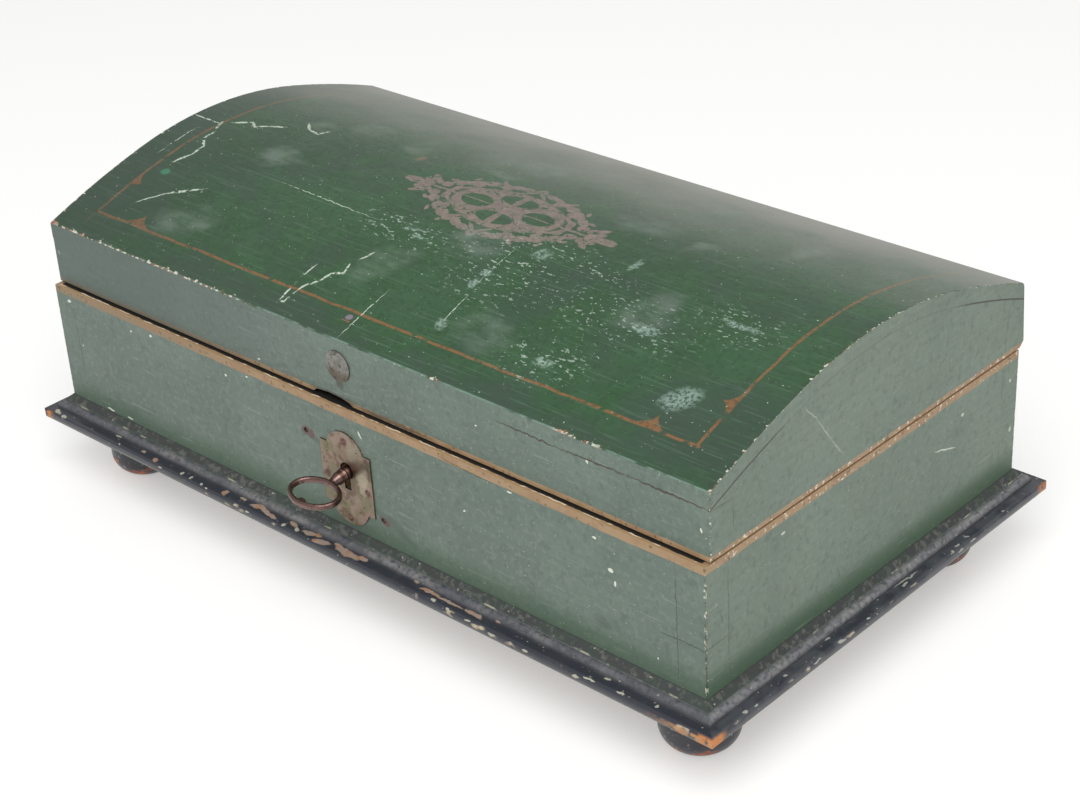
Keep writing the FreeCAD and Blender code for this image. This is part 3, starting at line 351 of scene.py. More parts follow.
def carcass_paint():
    """Green oil paint on pine boards, bare inside: dull outside, dry and brown within."""
    finish = Finish("green_oil_paint_on_pine", "#a8845c", 0.68, IOR=1.5)
    lay_pine(finish, (0.05, 0.05, 1.0))
    wide = finish.sum("ABSOLUTE", finish.x)
    deep = finish.sum("ABSOLUTE", finish.y)
    painted = finish.where_any(finish.beyond(wide, half_width - 0.8, 0.1),
                               finish.beyond(deep, half_depth - 0.8, 0.1))
    lay_side_green(finish, painted)
    at_front = finish.where_all(painted, finish.short_of(finish.y, -half_depth + 0.8, 0.1))
    at_right = finish.where_all(painted, finish.beyond(finish.x, half_width - 0.8, 0.1))
    lay_shut_bands(finish, painted)
    uneven = finish.wavy(finish.front, 3, 0.35)
    # Darker patches on the front face: two beside the lower right of the escutcheon, two low down beneath it,
    # and two elsewhere.
    dark_patches = [(27, 57, 9, 2.2, -12), (36, 52, 8, 1.6, -20), (148, 57, 4.5, 2.4, -10),
             (-19, 83, 6, 1.6, -15), (5, 47, 12, 2, 0), (2, 44.5, 18, 1.5, 0)]
    finish.coat(finish.where_all(at_front, finish.marks(uneven, dark_patches, 0.7)), "#3f4d43", 0.45,
                cover=0.6)
    cracks = strokes(0.3, (178, 65.2), (188, 65.8), (200, 65.4)) + strokes(0.22, (186, 46), (185.6, 100))
    cracks += strokes(0.2, (-187, 50), (-187.4, 96)) + strokes(0.25, (60, 101.5), (92, 99.6))
    finish.coat(finish.where_all(at_front, finish.marks(uneven, cracks, 0.5)), "#3a423a", 0.6, -0.12,
                cover=0.7)
    chips = [(-190, 97.5, 1.5, 0.6, 10), (-128, 98, 0.9, 0.6, 0), (-143, 95.5, 0.6, 0.5, 0),
             (-75, 95, 0.6, 0.6, 0), (145, 95.5, 1.1, 0.7, 15), (153, 83.5, 1.2, 0.9, -20),
             (155, 78, 0.6, 1.2, 0), (73, 80, 0.7, 0.5, 0), (-170, 44.5, 2.6, 0.5, 0),
             (-155, 44.8, 2, 0.45, 0), (-185, 75, 0.5, 0.4, 0), (12.5, 94.5, 1.9, 0.5, -55),
             (-60, 99, 1.0, 0.4, 0), (100, 99.2, 1.4, 0.45, 0), (176, 52, 0.4, 0.6, 0)]
    finish.coat(finish.where_all(at_front, finish.marks(uneven, chips, 0.25)), "#c6c9bc", 0.7)
    rusty = [(-22.6, 84.7, 2.9, 2.4, 0), (-19.6, 84.0, 2.2, 2.4, 0), (23.1, 55.3, 3.4, 1.9, -20)]
    finish.coat(finish.where_all(at_front, finish.marks(uneven, rusty, 0.3)), "#5a4846", 0.6)
    finish.coat(finish.where_all(at_front, finish.marks(finish.front, [(-22.9, 84.8, 1.4, 1.2, 0),
                                                                       (22.4, 55.4, 1.5, 1.1, -20)])),
                "#1d1516", 0.7)
    across = finish.wavy(finish.side, 3, 0.35)
    lines = strokes(0.3, (-94, 44), (-94.3, 100)) + strokes(0.3, (95.6, 84), (95.8, 99))
    lines += strokes(0.3, (95.4, 50), (95.6, 62)) + strokes(0.35, (-108, 66), (-95, 66.4))
    lines += strokes(0.3, (-24, 60), (-22, 54)) + strokes(0.4, (-99, 78), (-98, 74))
    finish.coat(finish.where_all(at_right, finish.marks(across, lines, 0.5)), "#4b5549", 0.6, -0.1,
                cover=0.65)
    pale = strokes(0.35, (45, 82), (60, 77)) + [(65, 91, 1, 0.8, 0), (102, 91, 0.9, 0.8, 0),
                                                (104, 66, 0.8, 1.1, 0), (-60, 95, 1.2, 0.5, 0)]
    finish.coat(finish.where_all(at_right, finish.marks(across, pale, 0.4)), "#b4b9ab", 0.65)
    corner = finish.sum("SUBTRACT", half_width, wide)
    lay_flakes(finish, finish.where_any(at_front, finish.beyond(finish.y, half_depth - 0.8, 0.1)),
               corner, 1.8, 1.0, 0.26)
    edge = finish.sum("SUBTRACT", half_depth, deep)
    lay_flakes(finish, finish.beyond(wide, half_width - 0.8, 0.1), edge, 1.6, 1.0, 0.22, 13)
    # The top of the rim is near-black: painted shadow of the narrow gap under the lid, over some dirt.
    rim_face = finish.where_all(finish.beyond(finish.z, rim - 0.4, 0.1),
                                finish.beyond(finish.facing_z, 0.6, 0.1))
    finish.coat(rim_face, "#100f0d", 0.6)
    inward = finish.sum("ADD", finish.sum("SUBTRACT", half_depth, deep), finish.waves[3][0])
    ochre_lip = finish.where_all(rim_face, finish.short_of(inward, 2.5, 0.15))
    end_lip = finish.short_of(finish.sum("SUBTRACT", half_width, wide), 3.0, 0.4)
    finish.coat(finish.where_all(rim_face, end_lip), "#8b7156", 0.5)
    finish.coat(ochre_lip, "#947a5b", 0.5)
    finish.coat(finish.where_all(ochre_lip, finish.within(inward, 1.9, 2.5, 0.2),
                                 finish.blotches(4, 0.4, soft=0.06, shift=90)), "#cdbfa6", 0.5)
    return finish.done()


def arch_depth(finish):
    """How deep a point lies under the arch of the lid, in millimetres."""
    aside = finish.sum("ABSOLUTE", finish.sum("SUBTRACT", finish.y, arch_middle))
    centre = crown - crown_radius
    lean = crown_reach / crown_radius
    further = flank_radius - crown_radius
    depths = []
    for back, down, radius in [(0.0, centre, crown_radius),
                               (-further * lean, centre - further * math.sqrt(1 - lean ** 2),
                                flank_radius)]:
        along = finish.sum("SUBTRACT", aside, back)
        above = finish.sum("SUBTRACT", finish.z, down)
        out = finish.add("VectorMath", [finish.add("CombineXYZ", [along, above])], out="Value",
                         operation="LENGTH")
        depths.append(finish.sum("SUBTRACT", radius, out))
    beyond = finish.sum("GREATER_THAN", aside, crown_reach)
    return finish.add("Mix", {0: beyond, 2: depths[0], 3: depths[1]})


def lay_lid_sides(finish, outside):
    """The green sides of the lid, with the joint under its top board opened by age."""
    lay_side_green(finish, outside)
    lay_shut_bands(finish, outside)
    at_front = finish.where_all(outside, finish.short_of(finish.y, lid_front + 0.8, 0.1))
    uneven = finish.wavy(finish.front, 3, 0.5)
    joint = strokes(0.4, (92, 127.6), (125, 127.0), (160, 127.6), (200, 127.0))
    finish.coat(finish.where_all(at_front, finish.marks(uneven, joint, 0.5)), "#3b2620", 0.6, -0.15,
                cover=0.85)
    drip = [(-1, 113, 2.4, 2.0, 0), (-6, 106, 14, 1.8, 0), (30, 105.5, 22, 1.1, 0)]
    finish.coat(finish.where_all(at_front, finish.marks(uneven, drip, 0.5)), "#3d3c32", 0.5, cover=0.7)
    chips = [(-197, 120, 0.5, 1.2, 0), (80, 121, 0.6, 0.4, 0), (-54, 108.5, 1.0, 0.4, 0),
             (196, 117, 0.5, 1.0, 0), (140, 126, 0.5, 0.9, 20)]
    finish.coat(finish.where_all(at_front, finish.marks(uneven, chips, 0.25)), "#c6c9bc", 0.7)
    dull = finish.where_all(at_front, finish.short_of(finish.x, -70, 70))
    finish.coat(dull, "#46534f", 0.48, cover=0.62)
    depth = arch_depth(finish)
    at_end = finish.where_all(outside, finish.beyond(finish.sum("ABSOLUTE", finish.x),
                                                     half_width - 0.8, 0.1))
    under = finish.within(depth, 6.8, 7.5, 0.15)
    far_out = finish.beyond(finish.sum("ABSOLUTE", finish.y), 62, 8)
    finish.coat(finish.where_all(at_end, under), "#59645a", 0.6, -0.05, cover=0.5)
    finish.coat(finish.where_all(at_end, under, far_out), "#3a3029", 0.6, -0.12, cover=0.75)
    across = finish.wavy(finish.side, 3, 0.3)
    lines = strokes(0.3, (-90.5, 112), (-91, 126), (-103, 126.5)) + strokes(0.3, (96.5, 106), (97, 124))
    finish.coat(finish.where_all(at_end, finish.marks(across, lines, 0.5)), "#4b5549", 0.6, -0.08,
                cover=0.6)
    scratch = strokes(0.3, (-46, 144), (-38, 135), (-29, 122), (-22, 113))
    finish.coat(finish.where_all(at_end, finish.marks(across, scratch, 0.5)), "#a9b0a5", 0.6, cover=0.5)
    lay_flakes(finish, at_end, depth, 1.8, 1.2, 0.26, 7)
    corner = finish.sum("SUBTRACT", half_width, finish.sum("ABSOLUTE", finish.x))
    lay_flakes(finish, at_front, corner, 1.6, 1.0, 0.24, 27)


def lid_sides_paint():
    """The lid's rails and ends: the same green as the carcass, bare pine inside."""
    finish = Finish("green_oil_paint_on_lid", "#a8845c", 0.68, IOR=1.5)
    lay_pine(finish, (0.05, 0.05, 1.0))
    wide = finish.sum("ABSOLUTE", finish.x)
    outside = finish.where_any(finish.beyond(wide, half_width - 0.8, 0.1),
                               finish.short_of(finish.y, lid_front + 0.8, 0.1),
                               finish.beyond(finish.y, half_depth + 0.4, 0.2))
    lay_lid_sides(finish, outside)
    return finish.done()


def lay_lid_lines(finish, where):
    """The orange-brown border with its thorns and the garland, painted freehand and worn."""
    across, along = finish.wavy(finish.top, 16, 0.4)
    front_line = finish.sum("SUBTRACT", along, finish.sum("MULTIPLY", across, 0.0028))
    left_line = finish.sum("SUBTRACT", across, finish.sum("MULTIPLY", along, 0.03))
    on_front = finish.where_all(finish.within(front_line, -89.9, -88.6, 0.2),
                                finish.within(across, -181, 182.8, 0.3))
    on_left = finish.where_all(finish.within(left_line, -179.6, -178.0, 0.3),
                               finish.within(along, -88, 60, 14))
    on_right = finish.where_all(finish.within(across, 180.6, 182.0, 0.25),
                                finish.within(along, -89.4, 96, 0.5))
    on_back = finish.where_all(finish.within(front_line, 95.4, 96.8, 0.3),
                               finish.within(across, -172, 182, 0.3))
    thorns = None
    for centre_x, centre_y, half, tall, turn in [(-152.5, -89.4, 9, 7.4, 0), (158, -88.9, 8, 7.6, 0),
                                                 (-180.5, -67, 7, 6.6, -90), (181.6, -65.5, 7, 6.8, 90)]:
        flat = finish.add("CombineXYZ", [across, along, 1.0])
        aside, rise = finish.local(flat, centre_x, centre_y, half, tall, turn)
        aside = finish.sum("ABSOLUTE", aside)
        filled = finish.short_of(finish.sum("ADD", finish.sum("POWER", aside, 0.45), rise), 1.0, 0.07)
        thorn = finish.where_all(filled, finish.beyond(rise, -0.02, 0.05),
                                 finish.short_of(aside, 1.0, 0.05))
        thorns = thorn if thorns is None else finish.where_any(thorns, thorn)
    lines = finish.where_all(where, finish.where_any(on_front, on_left, on_right, on_back, thorns))
    wear = finish.where_not(finish.where_all(finish.blotches(2.5, 0.22, soft=0.06, shift=71)))
    lines = finish.where_all(lines, wear)
    finish.coat(lines, "#7d5430", 0.42, cover=0.8)
    faded = finish.short_of(finish.x, -110, 60)
    finish.coat(finish.where_all(lines, faded), "#574a38", cover=0.5)
    finish.coat(finish.where_all(lines, finish.blotches(1.4, 0.3, shift=4)), "#4c3a22", cover=0.6)

    folded = [finish.sum("ABSOLUTE", finish.sum("SUBTRACT", reading, middle))
              for reading, middle in zip(finish.wavy(finish.top, 3, 0.35), GARLAND_MIDDLE)]
    inner = finish.marks(folded, HEART, 0.05)
    holes = finish.where_all(finish.marks(folded, PETALS, 0.08),
                             finish.where_not(finish.marks(folded, VEINS, 0.3)))
    ring = finish.where_all(finish.marks(folded, [(0, 0, 36.5, 14, 0)], 0.02),
                            finish.where_not(finish.marks(folded, [(0, 0, 34.0, 12.4, 0)], 0.02)),
                            finish.short_of(folded[1], 9.5, 0.5))
    leaves = finish.marks(folded, LEAVES, 0.12)
    creases = finish.where_all(finish.marks(folded, CREASES, 0.5), finish.blotches(2, 0.75, shift=66))
    heart = finish.where_all(inner, finish.where_not(holes), finish.where_not(creases))
    garland = finish.where_all(where, finish.where_any(heart, ring, leaves),
                               finish.where_not(finish.blotches(2.0, 0.12, soft=0.05, shift=60)))
    finish.coat(garland, "#7a6c66", 0.48, cover=0.84)
    finish.coat(finish.where_all(garland, finish.blotches(3, 0.4, soft=0.1, shift=23)), "#85766a",
                cover=0.5)
    shade = finish.blotches(1.3, 0.32, soft=0.08, shift=33)
    finish.coat(finish.where_all(garland, shade), "#4d4c44", cover=0.45)


def lay_lid_green(finish, where):
    """Dark green gloss paint, brushed thick: mottled and bloomed."""
    def on(mask):
        return finish.where_all(where, mask)

    finish.coat(where, "#214722", 0.34)
    finish.coat(on(finish.blotches(75, 0.5, soft=0.12)), "#193c1d", cover=0.7)
    finish.coat(on(finish.blotches(30, 0.42, soft=0.1, shift=11)), "#2e5233", 0.38, cover=0.6)
    finish.coat(on(finish.blotches(9, 0.4, soft=0.1, shift=25)), "#26432b", 0.3, cover=0.6)
    finish.coat(on(finish.blotches(3, 0.35, soft=0.1, detail=5, shift=37)), "#305436", cover=0.45)
    finish.coat(on(finish.blotches(1.4, 0.3, soft=0.08, detail=2, shift=47)), "#15311a", 0.45,
                cover=0.45)
    corners = finish.marks(finish.wavy(finish.top, 16, 5),
                           [(-185, -78, 32, 30, 0), (182, -80, 34, 26, 20), (-60, -100, 70, 7, 0),
                            (100, -102, 80, 6, 0), (-192, 0, 14, 60, 0)], 0.7)
    finish.coat(on(corners), "#303c35", 0.42, cover=0.65)
    far_left = finish.where_all(finish.short_of(finish.x, -140, 40), finish.short_of(finish.y, -20, 50))
    finish.coat(on(far_left), "#28362d", 0.4, cover=0.5)
    clouds = finish.blotches(17, 0.36, soft=0.1, detail=3, shift=111)
    finish.coat(on(clouds), "#2e3d35", 0.4, cover=0.45)
    # Bristle marks run with the length of the lid, drawn some times coarser than real ones to show
    bristles = finish.blotches(0.9, 0.5, soft=0.2, detail=3, stretch=(0.07, 1.0, 1.0), shift=6)
    finish.coat(on(bristles), "#294d2e", None, 0.01, cover=0.3)


def lay_lid_wear(finish, where):
    """What handling left on the top: bloom, scuffs, hairlines, chips and bare nail head; behind the crown, dust
    and painted reflection.
    """
    def on(mask):
        return finish.where_all(where, mask)

    soft_haze = finish.marks(finish.wavy(finish.top, 16, 3.5), HAZE_SPOTS, 0.75)
    streaky = finish.blotches(5, 0.55, soft=0.2, detail=5, stretch=(0.5, 1, 1), shift=52)
    finish.coat(on(finish.where_all(soft_haze, streaky)), "#7c897f", 0.5, cover=0.42)
    # Paler and greyer towards the back of the lid: partly dust, partly painted reflection of the pale
    # surroundings on the far slope of the crown.
    back = finish.add("MapRange", {0: finish.y, 1: 0.0, 2: 95.0, 3: 0.0, 4: 1.0},
                      interpolation_type="SMOOTHSTEP")
    clouds = finish.blotches(26, 0.62, soft=0.25, detail=4, shift=64)
    finish.coat(on(finish.where_all(back, clouds)), "#948f8a", 0.55, cover=0.6)
    finish.coat(on(back), "#7a8279", 0.5, cover=0.38)
    finish.coat(on(finish.beyond(finish.y, 88, 22)), "#a9a39e", 0.55, cover=0.4)
    rubbed = finish.marks(finish.wavy(finish.top, 16, 3),
                          [(40, -42, 28, 22, -20), (110, -45, 34, 14, 0), (155, -28, 20, 10, 0),
                           (95, -78, 20, 12, 0), (-20, -40, 30, 8, 0), (60, -20, 40, 6, -10)], 0.6)
    flecks = finish.blotches(0.8, 0.12, soft=0.03, detail=2, stretch=(0.45, 1, 1), shift=81)
    finish.coat(on(finish.where_all(rubbed, flecks)), "#a3b3a6", 0.6, cover=0.7)
    scuffs = finish.where_all(finish.marks(finish.wavy(finish.top, 3, 0.8), PALE_SCUFFS, 0.5),
                              finish.blotches(1.0, 0.6, soft=0.1, detail=4, shift=19))
    finish.coat(on(scuffs), "#8fa69b", 0.6, cover=0.6)
    finish.coat(on(finish.marks(finish.top, [(-170.5, -55.5, 2.6, 2.2, 0)], 0.4)), "#2f7a58", 0.4,
                cover=0.7)
    finish.coat(on(finish.marks(finish.top, [(-66, 14, 1.8, 3.0, 0)], 0.6)), "#7a5f52", 0.4, cover=0.6)
    for turn, shift in [(4, 90), (-38, 120), (74, 150)]:
        hairs = finish.blotches(0.55, -0.02, soft=0.02, detail=1, stretch=(0.03, 1, 1), shift=shift,
                                turn=turn)
        finish.coat(on(hairs), "#5f7766", 0.5, cover=0.2)
    finish.coat(on(finish.blotches(0.8, -0.24, soft=0.02, detail=1, shift=140)), "#b5bdb0", 0.6,
                cover=0.7)
    scratches = [spot for width, *points in SCRATCHES for spot in strokes(width, *points)]
    lines = finish.marks(finish.wavy(finish.top, 3, 0.35), scratches, 0.45)
    broken = finish.blotches(1.3, 0.68, soft=0.08, shift=41)
    finish.coat(on(finish.where_all(lines, broken)), "#b9c4b4", 0.65, cover=0.9)
    nail = finish.marks(finish.top, [(-4.4, -92.6, 2.5, 2.2, 10)], 0.15)
    finish.coat(on(nail), "#33352f", 0.6, -0.1)
    finish.coat(on(finish.marks(finish.top, [(-4.4, -92.5, 1.9, 1.6, 10)], 0.2)), "#6f6a70", 0.5, 0.15)
    to_end = finish.sum("SUBTRACT", half_width, finish.sum("ABSOLUTE", finish.x))
    lay_flakes(finish, where, to_end, 3.0, 1.3, 0.3, 5)
    to_front = finish.sum("SUBTRACT", finish.y, lid_front)
    # A pale line along the front arris: partly painted highlight, partly rubbed paint.
    highlight_and_wear_line = finish.where_all(finish.short_of(to_front, 0.8, 0.25), finish.blotches(7, 0.6, soft=0.1))
    finish.coat(on(highlight_and_wear_line), "#7d948a", 0.45, cover=0.55)
    battered = finish.where_any(finish.short_of(finish.x, -60, 8), finish.within(finish.x, 54, 61, 2),
                                finish.within(finish.x, 124, 146, 5))
    lay_flakes(finish, finish.where_all(where, battered), to_front, 3.0, 1.5, 0.5, 35)
    lay_flakes(finish, where, to_front, 1.2, 1.2, 0.1, 75)
    corner = finish.marks(finish.wavy(finish.top, 3, 1.2), [(-199.5, -103.6, 3.4, 1.2, 0),
                                                            (199.6, -102.5, 0.9, 3.0, 0)], 0.4)
    finish.coat(on(corner), "#8a4c30", 0.6, cover=0.75)


def lid_top_paint():
    """The top board: gloss green above, the duller side green on its edges, bare pine inside."""
    finish = Finish("dark_green_gloss_paint", "#a8845c", 0.68, IOR=1.5)
    lay_pine(finish, (0.04, 1.0, 1.0))
    wide = finish.sum("ABSOLUTE", finish.x)
    upward = finish.beyond(finish.facing_z, 0.45, 0.12)
    edges = finish.where_all(finish.where_any(finish.beyond(wide, half_width - 0.9, 0.1),
                                              finish.short_of(finish.y, lid_front + 0.9, 0.1),
                                              finish.beyond(finish.y, half_depth - 0.4, 0.2)),
                             finish.where_not(upward))
    lay_lid_sides(finish, edges)
    lay_lid_green(finish, upward)
    lay_lid_lines(finish, upward)
    lay_lid_wear(finish, upward)
    return finish.done()


def base_paint():
    """Black oil paint over the green, glossy on the nose and knocked through to the wood."""
    finish = Finish("black_oil_paint_on_pine", "#3a3b3f", 0.36, IOR=1.5)
    side_out = finish.sum("SUBTRACT", finish.sum("ABSOLUTE", finish.x), half_width)
    end_out = finish.sum("SUBTRACT", finish.sum("ABSOLUTE", finish.y), half_depth)
    out = finish.sum("MAXIMUM", side_out, end_out)
    drop = finish.sum("SUBTRACT", base_top, finish.z)
    way = finish.sum("ADD", out, drop)
    on_front = finish.where_all(finish.beyond(finish.sum("SUBTRACT", end_out, side_out), 0, 0.2),
                                finish.short_of(finish.y, 0))
    on_right = finish.where_all(finish.beyond(finish.sum("SUBTRACT", side_out, end_out), 0, 0.2),
                                finish.beyond(finish.x, 0))
    finish.coat(finish.blotches(14, 0.5, soft=0.15), "#303238", 0.3, cover=0.6)
    finish.coat(finish.blotches(2.2, 0.4, soft=0.1, detail=4, stretch=(0.5, 0.5, 1), shift=3), "#4b4c4e",
                0.45, 0.02, cover=0.5)
    slope = finish.short_of(way, 6.3, 0.3)
    finish.coat(slope, "#2d302f", 0.55)
    finish.coat(finish.where_all(slope, finish.blotches(1.6, 0.3, soft=0.08, shift=8)), "#5f625a", 0.7,
                0.03, cover=0.5)
    finish.coat(finish.where_all(slope, finish.blotches(9, 0.35, soft=0.1, shift=15)), "#2b3a30",
                cover=0.5)
    finish.coat(finish.short_of(way, 0.9, 0.3), "#242a26", 0.6, cover=0.7)
    step = finish.within(way, 5.9, 6.9, 0.2)
    finish.coat(step, "#2c4033", 0.5, cover=0.6)
    finish.coat(finish.where_all(step, finish.blotches(5, 0.14, soft=0.05, shift=18)), "#a8a68f", 0.6,
                cover=0.7)
    dust = finish.where_all(finish.within(way, 6.8, 11.5, 1.4), finish.blotches(1.3, 0.62, soft=0.2, detail=4))
    finish.coat(dust, "#66666a", 0.6, cover=0.45)
    # Partly dust, partly painted light: the dust on the right end is laid paler than on the front, for the
    # brighter light on that end.
    finish.coat(finish.where_all(dust, on_right), "#7d7d7e", 0.6, cover=0.55)
    finish.coat(finish.where_all(dust, finish.blotches(6, 0.35, soft=0.12, stretch=(0.4, 0.4, 1))),
                "#8a8784", 0.65, cover=0.4)
    nose = finish.within(way, 13.5, 21.5, 0.6)
    finish.coat(nose, "#282b34", 0.26, cover=0.75)
    # Painted light: paler grey patches on the nose of the right end, for the brighter light on that end.
    finish.coat(finish.where_all(nose, on_right, finish.blotches(5, 0.5, soft=0.15, shift=61)), "#4a4c50",
                0.4, cover=0.6)
    # The lower face is laid paler grey: partly painted reflection of the pale floor, partly dust.
    under = finish.beyond(way, 22.0, 0.3)
    finish.coat(under, "#5d5f59", 0.55, cover=0.5)

    front_way = finish.wavy((finish.x, way), 3, 0.6)
    wood = [(-54, 14.0, 5.0, 1.5, -14), (-46, 15.4, 6.0, 1.4, 10), (-18, 14.5, 6, 1.3, -12),
            (-10, 16.5, 5, 1.8, -15), (-1, 13.6, 3, 1.0, 0), (6, 15.5, 8, 2.2, 5), (15, 14.2, 3.2, 1.4, 0),
            (56, 14.4, 6, 0.9, -5), (68, 14.8, 8, 0.9, 0), (82, 14.6, 5, 1.3, 5), (47.5, 12.2, 1.4, 0.8, 0),
            (-76, 15.5, 1.6, 2.0, 0), (-64.5, 13.8, 2.0, 1.0, 0), (-30, 14.2, 2.6, 1.4, 20),
            (95, 12.4, 1.1, 0.7, 0), (-136, 15.2, 1.6, 1.0, 0), (-126, 16.8, 1.6, 1.3, 20)]
    finish.coat(finish.where_all(on_front, finish.marks(front_way, wood, 0.2)), "#8d7d70", 0.6, -0.12)
    bare = finish.where_all(on_front, finish.marks(front_way, wood, 0.05),
                            finish.blotches(2.0, 0.4, soft=0.05, shift=29))
    finish.coat(bare, "#96653f", 0.65, cover=0.6)
    cream = [(-202, 16.5, 2.9, 1.2, 20), (-196, 17.8, 1.8, 1.3, 0), (-157, 13.5, 2.2, 0.7, 0),
             (-152, 18, 0.9, 0.6, 0), (-106, 17, 0.9, 1.4, 15), (-99, 16.4, 0.9, 1.1, 20),
             (-91, 17.4, 1, 1, 0), (-87, 18.4, 1, 0.6, 0), (-120, 19.8, 1, 0.6, 0),
             (-34, 17.5, 1, 1.3, 0), (-26, 16, 1.6, 1, 30), (61, 17.8, 1.2, 0.9, 0),
             (70, 18.6, 0.9, 0.7, 0), (82, 19.6, 1.7, 0.6, 0), (96, 20.6, 1.9, 0.8, 0),
             (115, 20.8, 1.6, 0.6, 0), (142, 20.6, 2.3, 0.6, 0), (149, 18.4, 3.2, 0.6, 0),
             (155, 14.2, 1.6, 0.6, -20), (161, 12, 0.6, 0.6, 0), (165, 17.8, 1.9, 0.6, 0),
             (182, 15.2, 0.7, 0.9, 0), (-66, 20.2, 1, 0.6, 0), (-57, 20.4, 1.3, 0.6, 0)]
    finish.coat(finish.where_all(on_front, finish.marks(front_way, cream, 0.25)), "#9d9b8b", 0.65, -0.08)
    side_way = finish.wavy((finish.y, way), 3, 0.6)
    spots = [(-59, 19.8, 0.7, 0.6, 0), (-53, 20, 2.2, 0.6, 0), (-36, 19.2, 2.4, 0.9, 10),
             (15, 14.2, 7.2, 0.4, 3), (12, 16.2, 2.2, 0.6, 0), (45, 17.6, 0.9, 0.9, 0), (50, 16.4, 1.7, 0.6, 0),
             (58, 15.6, 1.7, 0.6, 20), (49, 20.2, 1.9, 0.6, 0), (59, 19.8, 1.9, 0.5, 0),
             (85, 17, 0.7, 0.7, 0), (-98, 17.8, 0.9, 0.6, 0), (-92, 18.4, 0.9, 0.6, 0),
             (-17, 18.4, 1.2, 0.6, 20), (-70, 15.5, 0.7, 0.7, 0), (-40, 13.8, 1.4, 0.5, 0)]
    finish.coat(finish.where_all(on_right, finish.marks(side_way, spots, 0.3)), "#8f9088", 0.65, -0.08)
    worn = finish.where_all(nose, finish.blotches(2.4, -0.08, soft=0.03, shift=77),
                            finish.blotches(30, 0.45, soft=0.1, shift=70))
    finish.coat(worn, "#a79f8c", 0.65, -0.08, cover=0.9)
    finish.coat(finish.blotches(0.9, -0.2, soft=0.02, detail=1, shift=55), "#a8a89c", 0.6, cover=0.7)
    lip = finish.within(way, 18.8, 21.8, 0.3)
    edge = finish.where_all(lip, finish.blotches(3.5, 0.06, soft=0.05, stretch=(0.5, 0.5, 1), shift=99))
    finish.coat(edge, "#b3a68e", 0.65, -0.06, cover=0.85)
    tips = finish.where_all(finish.beyond(finish.sum("MINIMUM", side_out, end_out), 4.5, 2.5),
                            finish.beyond(way, 18.6, 1.0),
                            finish.blotches(3, 0.7, soft=0.08, shift=88))
    finish.coat(tips, "#b0703e", 0.6, -0.1)
    frayed = finish.where_all(on_front, finish.beyond(finish.x, 190, 16), finish.beyond(way, 20.0, 0.6),
                              finish.blotches(2, 0.6, soft=0.08, shift=28))
    finish.coat(frayed, "#a8794e", 0.6)
    bottom = finish.where_all(finish.short_of(finish.z, base_under + 0.4, 0.1),
                              finish.short_of(finish.facing_z, -0.7, 0.1),
                              finish.short_of(out, 9.0, 0.4))
    finish.coat(bottom, "#80664a", 0.75)
    rings = finish.blotches(1.8, 0.5, soft=0.2, detail=4, stretch=(0.05, 1.0, 1.0), shift=9)
    finish.coat(finish.where_all(bottom, rings), "#5d4834", 0.8, cover=0.6)
    inside = finish.where_all(finish.short_of(out, -2.0), finish.beyond(finish.facing_z, 0.5))
    finish.coat(inside, "#9c7a54", 0.7)
    finish.coat(finish.where_all(inside, rings), "#85633f", cover=0.6)
    finish.coat(finish.where_all(inside, finish.blotches(45, 0.4, soft=0.15, shift=16)), "#705840", cover=0.5)
    return finish.done()


def foot_paint():
    """Black oil paint on feet turned from pine: glossy, rubbed to red-brown wood at the rim."""
    finish = Finish("black_paint_on_turned_pine", "#2b2c34", 0.28, IOR=1.5)
    finish.coat(finish.blotches(6, 0.45, soft=0.12), "#3a3b42", 0.36, cover=0.6)
    # Tool rings from the lathe, about two to the millimetre, drawn coarser to show
    rings = finish.blotches(1.4, 0.5, soft=0.2, stretch=(0.04, 0.04, 1))
    finish.coat(rings, "#22232a", 0.34, 0.02, cover=0.4)
    rim_band = finish.add("MapRange", {0: finish.z, 1: 14.0, 2: 5.0, 3: 0.0, 4: 1.0})
    wood = finish.blotches(4, 0.5, soft=0.05, stretch=(0.5, 0.5, 1), shift=14, likely=rim_band)
    finish.coat(wood, "#7c4334", 0.5, -0.04)
    finish.coat(finish.where_all(wood, finish.blotches(2.5, 0.4, soft=0.06, shift=24)), "#b3693c", 0.55,
                cover=0.8)
    # A darker ring in the turned groove: painted shade.
    finish.coat(finish.within(finish.z, 21.4, 22.9, 0.2), "#16171b", 0.5, cover=0.8)
    finish.coat(finish.blotches(1.2, 0.08, soft=0.03, shift=34), "#8d8f8c", 0.6, cover=0.7)
    sole = finish.short_of(finish.z, 1.2, 0.3)
    finish.coat(sole, "#6d543c", 0.75)
    return finish.done()


